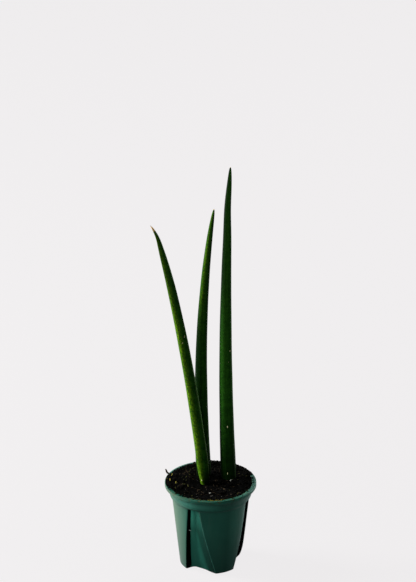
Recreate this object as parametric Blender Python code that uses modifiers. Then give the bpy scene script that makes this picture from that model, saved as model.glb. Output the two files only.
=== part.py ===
"""A potted snake plant: three round, tapering leaves that grow from one rhizome in a small nursery pot.

Metres, +Z up. The origin is the centre of the pot's underside, on the surface that the pot stands on.
The front of the plant is at -Y. An azimuth is counted from the front (-Y) towards +X.
"""

import math

import bmesh
import bpy
from mathutils import Matrix, Vector, noise

MM = 0.001

# ---- Driving dimensions ------------------------------------------------------------------------------

# Pot: height, radii of the outside and the wall
POT_HEIGHT = 62.0 * MM
RIM_RADIUS = 32.0 * MM
LIP_WIDTH = 3.0 * MM
LIP_HEIGHT = 2.6 * MM
LIP_ROUND = 0.5 * MM
COLLAR_INSET = 1.5 * MM
COLLAR_BAND = 6.8 * MM
COLLAR_STEP = 0.35 * MM
FLARE_DEPTH = 18.0 * MM
FLARE_POWER = 1.6
BASE_RADIUS = 21.2 * MM
WAIST_RADIUS = 26.1 * MM
WALL = 0.9 * MM
FLOOR = 1.2 * MM
BASE_CHAMFER = 0.7 * MM

# Air slits: the wall steps inwards three times, and each step is open
SLIT_BELOW_COLLAR = 1.8 * MM
FIRST_STEP_AZIMUTH = -36.5
FRONT_PITCH = 101.5
STEP_SWEEP = -17.0
PANEL_ANGLE_TOP = 20.3
PANEL_ANGLE_BASE = 63.5
PANEL_POWER = 1.55
STEP_DEPTH_TOP = 3.1 * MM
STEP_DEPTH_BASE = 4.2 * MM
SLIT_CLEARANCE = 0.6 * MM
SLIT_OVERCUT = 1.8 * MM
DRAIN_SLOT_LENGTH = 5.0 * MM
DRAIN_SLOT_WIDTH = 2.4 * MM
DRAIN_HOLE_RADIUS = 2.0 * MM
DRAIN_SLOT_INSET = 1.8 * MM
DRAIN_CIRCLE_RADIUS = 9.0 * MM

# Soil
SOIL_DROP = 1.3 * MM
SOIL_BUMP = 0.8 * MM
SOIL_BUMP_SIZE = 9.0 * MM

# Rhizome
RHIZOME_RADIUS = 4.6 * MM
RHIZOME_DEPTH = 17.0 * MM
ROOT_RADIUS = 1.3 * MM
ROOT_DROP = 16.8 * MM
ROOT_SPREAD = 6.0 * MM
ROOT_COUNT = 5
ROOT_AZIMUTH = 40.0
ROOT_TURN = 137.5
RHIZOME_END = 2.8 * MM
BRANCH_DROP = 0.7 * MM

# Loose bits on the soil
GRAIN_FRONT_RADIUS = 0.9 * MM
GRAIN_RIGHT_RADIUS = 0.8 * MM
FIBRE_RADIUS = 0.25 * MM
BARK_RADIUS = 0.6 * MM

# Fits: the gap that two touching pieces keep
GAP = 0.3 * MM

# Facets
POT_SEGMENTS = 72
SOIL_SEGMENTS = 40
PANEL_LEVELS = 10
PANEL_COLUMNS = 4
LIP_SEGMENTS = 3
COLLAR_LEVELS = 4
FLARE_LEVELS = 6
COLLAR_CREASE = 0.02 * MM
DRAIN_SEGMENTS = 16
SOIL_RINGS = 8
RHIZOME_STATIONS = 12
RHIZOME_SIDES_RESOLUTION = 3
ROOT_STATIONS = 5
SLIVER_STATIONS = 8
THIN_SIDES_RESOLUTION = 1

# How far a cutter stands out past what it cuts, sideways and downwards
CUT_MARGIN = 12.0 * MM
CUT_DEPTH = 1.0 * MM

# Heights and radii that follow from the sizes above
COLLAR_RADIUS = RIM_RADIUS - COLLAR_INSET
LIP_FOOT = POT_HEIGHT - LIP_HEIGHT
COLLAR_FOOT = LIP_FOOT - COLLAR_BAND
FLARE_FOOT = POT_HEIGHT - FLARE_DEPTH
SLIT_TOP = COLLAR_FOOT - SLIT_BELOW_COLLAR


class Leaf:
    """A round leaf: a smooth axis from the soil to the tip, and a radius that tapers along it."""

    def __init__(self, foot, lower, upper, tip, radius, fullness, taper, flare):
        self.axis = [Vector(p) * MM for p in (foot, lower, upper, tip)]
        self.radius = radius * MM
        self.fullness = fullness
        self.taper = taper
        self.flare = flare * MM


# Axis handles in millimetres, (x, y, height above the rim); radius at the foot; how long the leaf stays
# full; how bluntly it ends; how much its foot widens.
LEAVES = {
    "leaf_left": Leaf(
        foot=(-4.0, 1.5, -1.0),
        lower=(-11.7, 0.5, 75.8),
        upper=(-31.5, -2.0, 190.0),
        tip=(-42.3, -5.0, 203.7),
        radius=3.95,
        fullness=2.7,
        taper=0.8,
        flare=0.9,
    ),
    "leaf_middle": Leaf(
        foot=(-4.8, 12.4, -1.0),
        lower=(-7.5, 13.4, 62.0),
        upper=(-8.5, 15.5, 132.0),
        tip=(2.4, 18.0, 204.6),
        radius=5.25,
        fullness=1.0,
        taper=0.42,
        flare=0.3,
    ),
    "leaf_right": Leaf(
        foot=(12.6, 9.8, -1.0),
        lower=(9.5, 9.4, 79.0),
        upper=(9.8, 9.6, 160.0),
        tip=(13.9, 10.5, 241.4),
        radius=5.4,
        fullness=1.0,
        taper=0.4,
        flare=0.5,
    ),
}
LEAF_STATIONS = 26
LEAF_BURIED_STATIONS = 4
LEAF_SIDES_RESOLUTION = 6
LEAF_TIP_RADIUS = 0.25 * MM
FLARE_LENGTH = 0.06
STEM_NARROWING = 0.25
SOCKET_SHARES = (0.0, 0.015, 0.03)

# Loose bits: grains as (x, y) in millimetres, fibres as (azimuth, millimetres in from the mouth's wall),
# and the bark as (azimuth, millimetres out from the rim, millimetres above the lip)
GRAIN_FRONT = (-0.3, -17.3)
GRAIN_RIGHT = (14.0, 3.0)
FIBRE_FRONT = ((-3.0, 1.0), (4.0, 0.9), (12.0, 0.9), (19.4, 1.0))
FIBRE_LEFT = ((-83.9, 1.0), (-92.1, 1.4), (-98.7, 2.7), (-103.8, 3.9))
BARK = ((-108.1, -1.5, 0.95), (-109.5, 0.1, 1.3), (-110.5, 1.1, 2.2), (-111.0, 1.3, 3.4))

# ---- Colours: (red, green, blue), roughness ----------------------------------------------------------

POT_GREEN = ((0.012, 0.070, 0.055), 0.38)
SOIL_BROWN = ((0.012, 0.009, 0.006), 0.95)
LEAF_GREEN = ((0.020, 0.075, 0.008), 0.42)
RHIZOME_TAN = ((0.42, 0.25, 0.11), 0.70)
PERLITE_WHITE = ((0.55, 0.54, 0.50), 0.90)
STRAW_YELLOW = ((0.40, 0.31, 0.08), 0.80)
BARK_BROWN = ((0.05, 0.03, 0.02), 0.85)


# ---- Scene helpers -----------------------------------------------------------------------------------


def clear_scene():
    """Removes every object, so that the file holds the plant alone."""
    for obj in list(bpy.data.objects):
        bpy.data.objects.remove(obj, do_unlink=True)


def make_collection(name):
    """A new collection in the scene."""
    collection = bpy.data.collections.new(name)
    bpy.context.scene.collection.children.link(collection)
    return collection


def make_material(name, look):
    """A Principled material of one colour and roughness."""
    colour, roughness = look
    material = bpy.data.materials.new(name)
    material.use_nodes = True
    shader = material.node_tree.nodes["Principled BSDF"]
    shader.inputs["Base Color"].default_value = (*colour, 1.0)
    shader.inputs["Roughness"].default_value = roughness
    shader.inputs["Metallic"].default_value = 0.0
    return material


def make_object(name, mesh, collection, material=None):
    """An object of this mesh, with its material."""
    obj = bpy.data.objects.new(name, mesh)
    collection.objects.link(obj)
    if material:
        mesh.materials.append(material)
    return obj


def make_cutter(obj):
    """Marks an object as a tool that shapes others and isn't a piece itself."""
    obj.hide_render = True
    obj.display_type = "WIRE"
    return obj


def join_modifier(obj, tool, operation):
    """Adds a Boolean modifier to obj."""
    modifier = obj.modifiers.new(f"{operation.lower()}_{tool.name}", "BOOLEAN")
    modifier.operation = operation
    modifier.solver = "EXACT"
    modifier.object = tool
    return modifier


def smooth(mesh, angle=35.0):
    """Shades a mesh smooth, apart from edges sharper than angle."""
    mesh.shade_smooth()
    mesh.set_sharp_from_angle(angle=math.radians(angle))


def frozen(obj, name, collection, material=None):
    """A mesh object with obj's modifiers applied, in obj's place; obj is removed."""
    graph = bpy.context.evaluated_depsgraph_get()
    mesh = bpy.data.meshes.new_from_object(obj.evaluated_get(graph))
    mesh.transform(obj.matrix_world)
    mesh.materials.clear()
    bpy.data.objects.remove(obj, do_unlink=True)
    mesh.name = name
    weld(mesh)
    return make_object(name, mesh, collection, material)


def weld(mesh):
    """Joins the vertices that lie in one place, such as those of a curve's caps."""
    work = bmesh.new()
    work.from_mesh(mesh)
    bmesh.ops.remove_doubles(work, verts=work.verts, dist=0.00001)
    bmesh.ops.recalc_face_normals(work, faces=work.faces)
    work.to_mesh(mesh)
    work.free()


def turned(name, profile, segments, collection, material=None):
    """A solid of revolution about Z. The profile runs down its outer side, from the axis to the axis."""
    mesh = bpy.data.meshes.new(name)
    points = [(radius, 0.0, height) for radius, height in profile]
    mesh.from_pydata(points, [(i, i + 1) for i in range(len(points) - 1)], [])
    obj = make_object(name, mesh, collection, material)
    screw = obj.modifiers.new("turn", "SCREW")
    screw.steps = segments
    screw.render_steps = segments
    screw.use_merge_vertices = True
    screw.merge_threshold = 0.00002
    screw.use_smooth_shade = True
    return obj


def tube(name, points, radii, sides_resolution, collection, material=None):
    """A tube along points, with a radius at each, closed at both ends."""
    curve = bpy.data.curves.new(name, "CURVE")
    curve.dimensions = "3D"
    curve.twist_mode = "MINIMUM"
    curve.bevel_depth = 1.0
    curve.bevel_resolution = sides_resolution
    curve.use_fill_caps = True
    spline = curve.splines.new("POLY")
    spline.points.add(len(points) - 1)
    for place, point, radius in zip(spline.points, points, radii):
        place.co = (*point, 1.0)
        place.radius = radius
    obj = bpy.data.objects.new(f"{name}_curve", curve)
    collection.objects.link(obj)
    bpy.context.view_layer.update()
    return frozen(obj, name, collection, material)


def loft(name, sections, collection):
    """A closed solid through sections that have the same number of corners, listed from the bottom up."""
    mesh = bpy.data.meshes.new(name)
    work = bmesh.new()
    rings = [[work.verts.new(p) for p in section] for section in sections]
    for low, high in zip(rings, rings[1:]):
        for i in range(len(low)):
            j = (i + 1) % len(low)
            work.faces.new((low[i], low[j], high[j], high[i]))
    work.faces.new(reversed(rings[0]))
    work.faces.new(rings[-1])
    bmesh.ops.triangulate(work, faces=work.faces)
    bmesh.ops.recalc_face_normals(work, faces=work.faces)
    work.to_mesh(mesh)
    work.free()
    return make_object(name, mesh, collection)


def joined(name, objects, collection):
    """One mesh object that holds several closed bodies."""
    work = bmesh.new()
    for obj in objects:
        work.from_mesh(obj.data)
        bpy.data.objects.remove(obj, do_unlink=True)
    mesh = bpy.data.meshes.new(name)
    work.to_mesh(mesh)
    work.free()
    return make_object(name, mesh, collection)


# ---- Pot: shape of the wall --------------------------------------------------------------------------


def body_radius(height):
    """Outside radius of the plain tapered body at a height."""
    return BASE_RADIUS + (WAIST_RADIUS - BASE_RADIUS) * height / FLARE_FOOT


def wall_radius(height):
    """Outside radius at a height: the tapered body, which flares into the collar near its top."""
    if height <= FLARE_FOOT:
        return body_radius(height)
    share = min((height - FLARE_FOOT) / (LIP_FOOT - FLARE_FOOT), 1.0)
    flared = body_radius(height) + (COLLAR_RADIUS - body_radius(LIP_FOOT)) * share**FLARE_POWER
    return flared if height > COLLAR_FOOT else flared - COLLAR_STEP


def inner_radius(height):
    """Inside radius at a height. The mouth is never narrower than what lies under it."""
    return min(RIM_RADIUS - LIP_WIDTH, wall_radius(height) - WALL)


def arc(centre, radius, start, end, steps):
    """Points of an arc in the profile's plane, with angles in degrees."""
    angles = [math.radians(start + (end - start) * i / steps) for i in range(steps + 1)]
    return [(centre[0] + radius * math.cos(a), centre[1] + radius * math.sin(a)) for a in angles]


def spread(start, end, steps):
    """Evenly spaced values from start to end, both included."""
    return [start + (end - start) * i / steps for i in range(steps + 1)]


def pot_profile():
    """Outline of the pot's outside, from the middle of its mouth to the middle of its underside."""
    edge = RIM_RADIUS - LIP_ROUND
    crease = COLLAR_FOOT + COLLAR_CREASE
    outline = [(0.0, POT_HEIGHT)]
    outline += arc((edge, POT_HEIGHT - LIP_ROUND), LIP_ROUND, 90, 0, LIP_SEGMENTS)
    outline += arc((edge, LIP_FOOT + LIP_ROUND), LIP_ROUND, 0, -90, LIP_SEGMENTS)
    outline += [(wall_radius(z), z) for z in spread(LIP_FOOT, crease, COLLAR_LEVELS)]
    outline += [(wall_radius(z), z) for z in spread(COLLAR_FOOT, FLARE_FOOT, FLARE_LEVELS)]
    outline += [(body_radius(BASE_CHAMFER), BASE_CHAMFER)]
    outline += [(body_radius(BASE_CHAMFER) - BASE_CHAMFER, 0.0), (0.0, 0.0)]
    return outline


def cavity_profile(clearance, top):
    """Outline of the pot's inside, drawn in by clearance and closed at the height top."""
    outline = [(0.0, top), (inner_radius(POT_HEIGHT) - clearance, top)]
    heights = spread(LIP_FOOT, COLLAR_FOOT, COLLAR_LEVELS)
    heights += spread(COLLAR_FOOT, FLARE_FOOT, FLARE_LEVELS)[1:]
    outline += [(inner_radius(z) - clearance, z) for z in heights if z < top]
    corner = FLOOR + clearance
    outline += [(inner_radius(corner + WALL) - clearance, corner + WALL)]
    outline += [(inner_radius(corner + WALL) - clearance - WALL, corner), (0.0, corner)]
    return outline


# ---- Pot: the three air slits ------------------------------------------------------------------------


def step_azimuths():
    """Azimuth of each step at the top of the slits: two at the front and one at the back."""
    back_pitch = (360.0 - FRONT_PITCH) / 2.0
    second = FIRST_STEP_AZIMUTH + FRONT_PITCH
    return [FIRST_STEP_AZIMUTH, second, second + back_pitch]


def direction(azimuth):
    """Horizontal unit vector at an azimuth in degrees."""
    angle = math.radians(azimuth)
    return Vector((math.sin(angle), -math.cos(angle), 0.0))


def step_corner(azimuth, height):
    """Where a step meets its panel at a height, the way the step runs, and the panel as a vector."""
    fall = 1.0 - height / SLIT_TOP
    step_azimuth = azimuth + STEP_SWEEP * fall
    growth = max(fall, 0.0) ** PANEL_POWER
    panel_angle = PANEL_ANGLE_TOP + (PANEL_ANGLE_BASE - PANEL_ANGLE_TOP) * growth
    ridge_azimuth = azimuth + PANEL_ANGLE_TOP + (panel_angle - PANEL_ANGLE_TOP + STEP_SWEEP * growth)
    depth = STEP_DEPTH_TOP + (STEP_DEPTH_BASE - STEP_DEPTH_TOP) * fall
    radius = body_radius(height)
    outward = direction(step_azimuth)
    corner = outward * (radius - depth)
    ridge = direction(ridge_azimuth) * radius
    return corner, outward, ridge - corner


def recess_section(azimuth, height, grow):
    """Corners of the cut that makes one recess at a height, with its step and panel moved in by grow."""
    corner, outward, panel = step_corner(azimuth, height)
    along = panel.normalized()
    between = outward.cross(along).length
    corner = corner - (outward + along) * (grow / between) + Vector((0.0, 0.0, height))
    length = panel.length + CUT_MARGIN
    section = [corner, corner + outward * CUT_MARGIN, corner + outward * CUT_MARGIN + along * length]
    return section + [corner + along * (length * i / PANEL_COLUMNS) for i in range(PANEL_COLUMNS, 0, -1)]


def recess_cutter(name, grow, collection):
    """The three recesses of the wall as one cutter, grown by grow on its inner faces and its top."""
    bodies = []
    for number, azimuth in enumerate(step_azimuths()):
        heights = spread(-CUT_DEPTH, SLIT_TOP + grow, PANEL_LEVELS)
        sections = [recess_section(azimuth, z, grow) for z in heights]
        bodies.append(loft(f"{name}_{number}", sections, collection))
    return make_cutter(joined(name, bodies, collection))


def slit_section(azimuth, height):
    """Corners of the opening in one step at a height: it leaves the outer wall and opens the step."""
    corner, outward, _ = step_corner(azimuth, height)
    across = Vector((-outward.y, outward.x, 0.0))
    depth = STEP_DEPTH_TOP + (STEP_DEPTH_BASE - STEP_DEPTH_TOP) * (1.0 - height / SLIT_TOP)
    inner = corner - outward * (WALL + SLIT_OVERCUT)
    outer = corner + outward * (depth - WALL)
    near = across * SLIT_CLEARANCE
    past = across * -(WALL + SLIT_OVERCUT)
    lift = Vector((0.0, 0.0, height))
    return [inner + near + lift, inner + past + lift, outer + past + lift, outer + near + lift]


def slit_cutter(collection):
    """The openings in the three steps, from the floor up to just under the collar."""
    bodies = []
    for number, azimuth in enumerate(step_azimuths()):
        sections = [slit_section(azimuth, z) for z in spread(FLOOR, SLIT_TOP - WALL, PANEL_LEVELS)]
        bodies.append(loft(f"slit_{number}", sections, collection))
    return make_cutter(joined("cut_slits", bodies, collection))


def drain_cutter(collection):
    """Drainage: a slot in the floor behind the foot of each slit, and a round hole between each two."""
    work = bmesh.new()
    tall = 2.0 * (FLOOR + CUT_DEPTH)
    azimuths = [azimuth + STEP_SWEEP for azimuth in step_azimuths()]
    for azimuth in azimuths:
        corner, outward, _ = step_corner(azimuth - STEP_SWEEP, 0.0)
        middle = corner - outward * (DRAIN_SLOT_LENGTH / 2.0 + DRAIN_SLOT_INSET)
        slot = bmesh.ops.create_cube(work, size=1.0)["verts"]
        bmesh.ops.scale(work, vec=(DRAIN_SLOT_WIDTH, DRAIN_SLOT_LENGTH, tall), verts=slot)
        bmesh.ops.rotate(work, verts=slot, cent=(0, 0, 0), matrix=turn(azimuth))
        bmesh.ops.translate(work, verts=slot, vec=middle)
    for azimuth, following in zip(azimuths, azimuths[1:] + [azimuths[0] + 360.0]):
        middle = (azimuth + following) / 2.0
        hole = bmesh.ops.create_cone(
            work,
            cap_ends=True,
            segments=DRAIN_SEGMENTS,
            radius1=DRAIN_HOLE_RADIUS,
            radius2=DRAIN_HOLE_RADIUS,
            depth=tall,
        )["verts"]
        bmesh.ops.translate(work, verts=hole, vec=direction(middle) * DRAIN_CIRCLE_RADIUS)
    mesh = bpy.data.meshes.new("cut_drains")
    work.to_mesh(mesh)
    work.free()
    return make_cutter(make_object("cut_drains", mesh, collection))


def turn(azimuth):
    """Rotation that takes -Y to an azimuth."""
    return Matrix.Rotation(math.radians(azimuth), 3, "Z")


def make_pot(parts, tools):
    """The pot: one moulded shell with a lip, a flared collar and three open steps in its wall."""
    material = make_material("pot_plastic", POT_GREEN)
    pot = turned("pot", pot_profile(), POT_SEGMENTS, parts, material)
    inside = cavity_profile(0.0, POT_HEIGHT + CUT_DEPTH)
    cavity = make_cutter(turned("cut_cavity", inside, POT_SEGMENTS, tools))
    join_modifier(cavity, recess_cutter("cut_cavity_recesses", WALL, tools), "DIFFERENCE")
    join_modifier(pot, recess_cutter("cut_recesses", 0.0, tools), "DIFFERENCE")
    join_modifier(pot, cavity, "DIFFERENCE")
    join_modifier(pot, slit_cutter(tools), "DIFFERENCE")
    join_modifier(pot, drain_cutter(tools), "DIFFERENCE")
    return pot


# ---- Leaves ------------------------------------------------------------------------------------------


def rhizome_top():
    """Height of the rhizome's upper side, which the leaves grow from."""
    return POT_HEIGHT - RHIZOME_DEPTH + RHIZOME_RADIUS


def leaf_point(leaf, share):
    """Point on a leaf's axis, from its foot at the soil (0) to its tip (1)."""
    a, b, c, d = (Vector((p.x, p.y, p.z + POT_HEIGHT)) for p in leaf.axis)
    rest = 1.0 - share
    return a * rest**3 + b * 3 * rest**2 * share + c * 3 * rest * share**2 + d * share**3


def leaf_radius(leaf, share):
    """Radius of a leaf along its axis."""
    full = leaf.radius * max(1.0 - share**leaf.fullness, 0.0) ** leaf.taper
    return max(full + leaf.flare * math.exp(-share / FLARE_LENGTH), LEAF_TIP_RADIUS)


def leaf_shares():
    """Stations along a leaf, closer together towards the tip, where the radius changes most."""
    return [1.0 - (1.0 - i / LEAF_STATIONS) ** 1.5 for i in range(LEAF_STATIONS + 1)]


def buried_stem(leaf, grow):
    """Points and radii of a leaf's foot, from the rhizome up to the soil's surface."""
    foot = leaf_point(leaf, 0.0)
    slope = (leaf_point(leaf, 0.01) - foot).normalized()
    depth = foot.z - rhizome_top() - GAP + grow
    points, radii = [], []
    for i in range(LEAF_BURIED_STATIONS):
        down = depth * (1.0 - i / LEAF_BURIED_STATIONS)
        points.append(foot - slope * (down / slope.z))
        radii.append(leaf_radius(leaf, 0.0) * (1.0 - STEM_NARROWING * down / depth) + grow)
    return points, radii


def make_leaf(name, parts):
    """One leaf with the part of its foot that is under the soil."""
    leaf = LEAVES[name]
    material = make_material(name, LEAF_GREEN)
    points, radii = buried_stem(leaf, 0.0)
    points += [leaf_point(leaf, s) for s in leaf_shares()]
    radii += [leaf_radius(leaf, s) for s in leaf_shares()]
    obj = tube(name, points, radii, LEAF_SIDES_RESOLUTION, parts, material)
    smooth(obj.data)
    return obj


def leaf_socket(name, tools):
    """The hole that a leaf stands in: its foot, grown by the gap and carried on past the soil."""
    leaf = LEAVES[name]
    points, radii = buried_stem(leaf, GAP)
    for share in SOCKET_SHARES:
        points.append(leaf_point(leaf, share))
        radii.append(leaf_radius(leaf, share) + GAP)
    return tube(f"cut_socket_{name}", points, radii, LEAF_SIDES_RESOLUTION, tools)


# ---- Rhizome -----------------------------------------------------------------------------------------


def rhizome_axis(name):
    """Where the rhizome's axis passes under a leaf."""
    leaf = LEAVES[name]
    foot = leaf_point(leaf, 0.0)
    return Vector((foot.x, foot.y, POT_HEIGHT - RHIZOME_DEPTH))


def rhizome_point(share):
    """A point on the rhizome's axis, which runs from the left leaf to the middle one and the right one."""
    left, middle, right = (rhizome_axis(name) for name in ("leaf_left", "leaf_middle", "leaf_right"))
    if share < 0.5:
        return left.lerp(middle, 2.0 * share)
    return middle.lerp(right, 2.0 * share - 1.0)


def rhizome_stem(name, start, end, grow, collection, material=None):
    """One straight stretch of the rhizome, blunt at both ends."""
    beyond = (end - start).normalized() * RHIZOME_END
    shares = spread(0.0, 1.0, RHIZOME_STATIONS)
    points = [(start - beyond).lerp(end + beyond, share) for share in shares]
    radii = [RHIZOME_RADIUS * rhizome_fullness(share) + grow for share in shares]
    points, radii = lengthened(points, radii, grow)
    return tube(name, points, radii, RHIZOME_SIDES_RESOLUTION, collection, material)


def rhizome_body(name, grow, collection, tools, material=None):
    """The rhizome with its roots: one stretch between each two leaves that grew one after the other."""
    left, middle, right = rhizome_point(0.0), rhizome_point(0.5), rhizome_point(1.0)
    stem = rhizome_stem(name, left, middle, grow, collection, material)
    fall = Vector((0.0, 0.0, -BRANCH_DROP))
    branches = [rhizome_stem(f"cut_{name}_branch", middle + fall, right + fall, grow, tools)]
    for number in range(ROOT_COUNT):
        branches.append(root_tube(f"cut_{name}_root_{number}", number, grow, tools))
    for branch in branches:
        join_modifier(stem, make_cutter(branch), "UNION")
    return stem


def lengthened(points, radii, grow):
    """A tube's points and radii, with both of its ends moved out by grow."""
    if not grow:
        return points, radii
    first = points[0] + (points[0] - points[1]).normalized() * grow
    last = points[-1] + (points[-1] - points[-2]).normalized() * grow
    return [first] + points + [last], [radii[0]] + radii + [radii[-1]]


def rhizome_fullness(share):
    """How full a stretch of the rhizome is along its length."""
    return 0.55 + 0.45 * math.sin(math.pi * min(max(share, 0.0), 1.0)) ** 0.5


def root_tube(name, number, grow, collection):
    """One root: it leaves the rhizome's underside and runs down and out."""
    start = rhizome_point(number / (ROOT_COUNT - 1))
    heading = direction(ROOT_AZIMUTH + ROOT_TURN * number)
    points, radii = [], []
    for share in spread(0.0, 1.0, ROOT_STATIONS):
        drop = Vector((0.0, 0.0, -ROOT_DROP * share))
        points.append(start + drop + heading * (ROOT_SPREAD * share**1.5))
        radii.append(ROOT_RADIUS * (1.0 - 0.6 * share) + grow)
    points, radii = lengthened(points, radii, grow)
    return tube(name, points, radii, THIN_SIDES_RESOLUTION, collection)


def make_rhizome(parts, tools):
    """The rhizome as a piece of its own, under the soil."""
    return rhizome_body("rhizome", 0.0, parts, tools, make_material("rhizome", RHIZOME_TAN))


# ---- Soil --------------------------------------------------------------------------------------------


def soil_height(x, y):
    """Height of the soil's surface: level, with soft lumps that die out at the wall."""
    reach = inner_radius(POT_HEIGHT)
    edge = min(math.hypot(x, y) / reach, 1.0)
    lump = noise.noise(Vector((x, y, 0.0)) / SOIL_BUMP_SIZE)
    return POT_HEIGHT - SOIL_DROP + SOIL_BUMP * lump * (1.0 - edge**4)


def make_soil(parts, tools):
    """The soil: it fills the pot, stands back from the wall by the gap, and has a lumpy surface."""
    top = POT_HEIGHT - SOIL_DROP
    outline = cavity_profile(GAP, top)
    rim = outline[1][0]
    rings = [(rim * i / SOIL_RINGS, top) for i in range(1, SOIL_RINGS)]
    blank = turned("soil_blank", [outline[0]] + rings + outline[1:], SOIL_SEGMENTS, tools)
    bpy.context.view_layer.update()
    soil = frozen(blank, "soil", parts, make_material("soil", SOIL_BROWN))
    for vertex in soil.data.vertices:
        if vertex.co.z > top - GAP:
            vertex.co.z = soil_height(vertex.co.x, vertex.co.y)
    join_modifier(soil, recess_cutter("cut_soil_recesses", WALL + GAP, tools), "DIFFERENCE")
    for name in LEAVES:
        join_modifier(soil, make_cutter(leaf_socket(name, tools)), "DIFFERENCE")
    hollow = make_cutter(rhizome_body("cut_soil_rhizome", GAP, tools, tools))
    join_modifier(soil, hollow, "DIFFERENCE")
    return soil


# ---- Loose bits on the soil --------------------------------------------------------------------------


def resting_height(x, y, reach):
    """Height at which a small piece of this reach lies clear of the soil under it."""
    around = [(x + reach * i, y + reach * j) for i in (-1, 0, 1) for j in (-1, 0, 1)]
    return max(soil_height(*place) for place in around) + GAP


def make_grain(name, spot, radius, material, parts):
    """A rough, slightly flat mineral grain that lies on the soil."""
    x, y = (value * MM for value in spot)
    work = bmesh.new()
    bmesh.ops.create_icosphere(work, subdivisions=2, radius=radius)
    for vertex in work.verts:
        rough = noise.noise(vertex.co / radius * 1.3 + Vector((x, y, 0.0)) / MM)
        vertex.co *= 1.0 + 0.35 * rough
        vertex.co.z *= 0.75
    mesh = bpy.data.meshes.new(name)
    work.to_mesh(mesh)
    work.free()
    obj = make_object(name, mesh, parts, material)
    lowest = min(vertex.co.z for vertex in mesh.vertices)
    obj.location = (x, y, resting_height(x, y, radius) - lowest)
    return obj


def smooth_route(knots, share):
    """A point on the smooth curve through knots, with share from 0 to 1."""
    place = share * (len(knots) - 1)
    i = min(int(place), len(knots) - 2)
    t = place - i
    before = knots[max(i - 1, 0)]
    after = knots[min(i + 2, len(knots) - 1)]
    low, high = knots[i], knots[i + 1]
    return 0.5 * (
        2 * low
        + (high - before) * t
        + (2 * before - 5 * low + 4 * high - after) * t**2
        + (3 * low - before - 3 * high + after) * t**3
    )


def make_sliver(name, places, radius, material, parts):
    """A thin stick or fibre along a smooth curve through places, thinner towards its end."""
    shares = spread(0.0, 1.0, SLIVER_STATIONS)
    points = [smooth_route(places, share) for share in shares]
    radii = [radius * (1.0 - 0.5 * share**2) for share in shares]
    return tube(name, points, radii, THIN_SIDES_RESOLUTION, parts, material)


def fibre_places(route):
    """Places along a fibre that lies on the soil beside the mouth's wall."""
    places = []
    for azimuth, inset in route:
        place = direction(azimuth) * (inner_radius(POT_HEIGHT) - inset * MM)
        place.z = resting_height(place.x, place.y, FIBRE_RADIUS) + FIBRE_RADIUS
        places.append(place)
    return places


def bark_places():
    """Places along the bark, which lies over the lip and stands up outside it."""
    places = []
    for azimuth, outset, rise in BARK:
        place = direction(azimuth) * (RIM_RADIUS + outset * MM)
        place.z = POT_HEIGHT + rise * MM
        places.append(place)
    return places


def make_litter(parts):
    """Perlite grains, dry fibres and a crumb of bark that lie loose on top."""
    perlite = make_material("perlite", PERLITE_WHITE)
    straw = make_material("straw", STRAW_YELLOW)
    bark = make_material("bark", BARK_BROWN)
    make_grain("perlite_front", GRAIN_FRONT, GRAIN_FRONT_RADIUS, perlite, parts)
    make_grain("perlite_right", GRAIN_RIGHT, GRAIN_RIGHT_RADIUS, perlite, parts)
    make_sliver("fibre_front", fibre_places(FIBRE_FRONT), FIBRE_RADIUS, straw, parts)
    make_sliver("fibre_left", fibre_places(FIBRE_LEFT), FIBRE_RADIUS, straw, parts)
    make_sliver("bark_crumb", bark_places(), BARK_RADIUS, bark, parts)


# ---- The plant ---------------------------------------------------------------------------------------


def build():
    """Makes every piece."""
    clear_scene()
    parts = make_collection("potted_snake_plant")
    tools = make_collection("cutters")
    make_pot(parts, tools)
    make_soil(parts, tools)
    make_rhizome(parts, tools)
    for name in LEAVES:
        make_leaf(name, parts)
    make_litter(parts)


build()
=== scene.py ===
"""Looks of the potted snake plant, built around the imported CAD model.

Metres, +Z up. The front of the plant is at -Y. An azimuth is counted in degrees from the front towards
+X. Colours are linear RGB.
"""

import math
import random
from functools import cached_property, partialmethod
from typing import NamedTuple

import bmesh
import bpy
import numpy as np
from mathutils import Matrix, Vector, noise


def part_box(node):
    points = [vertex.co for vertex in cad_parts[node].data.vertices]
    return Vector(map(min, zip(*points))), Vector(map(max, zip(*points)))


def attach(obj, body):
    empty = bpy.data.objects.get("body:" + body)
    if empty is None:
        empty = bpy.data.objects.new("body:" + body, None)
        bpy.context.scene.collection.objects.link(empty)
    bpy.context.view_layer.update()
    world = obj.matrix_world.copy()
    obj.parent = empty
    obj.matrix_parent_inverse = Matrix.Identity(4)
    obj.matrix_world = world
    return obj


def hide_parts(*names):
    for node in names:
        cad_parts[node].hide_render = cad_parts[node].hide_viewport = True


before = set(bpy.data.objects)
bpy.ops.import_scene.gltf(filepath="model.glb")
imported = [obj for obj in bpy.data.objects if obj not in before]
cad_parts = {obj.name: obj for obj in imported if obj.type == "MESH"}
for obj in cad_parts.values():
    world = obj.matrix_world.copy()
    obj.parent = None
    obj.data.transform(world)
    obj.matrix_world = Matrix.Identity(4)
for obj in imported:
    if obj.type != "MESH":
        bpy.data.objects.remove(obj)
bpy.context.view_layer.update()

MM = 0.001
BODY = "root"

# ---- Sizes, the same as the CAD model's ----

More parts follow.
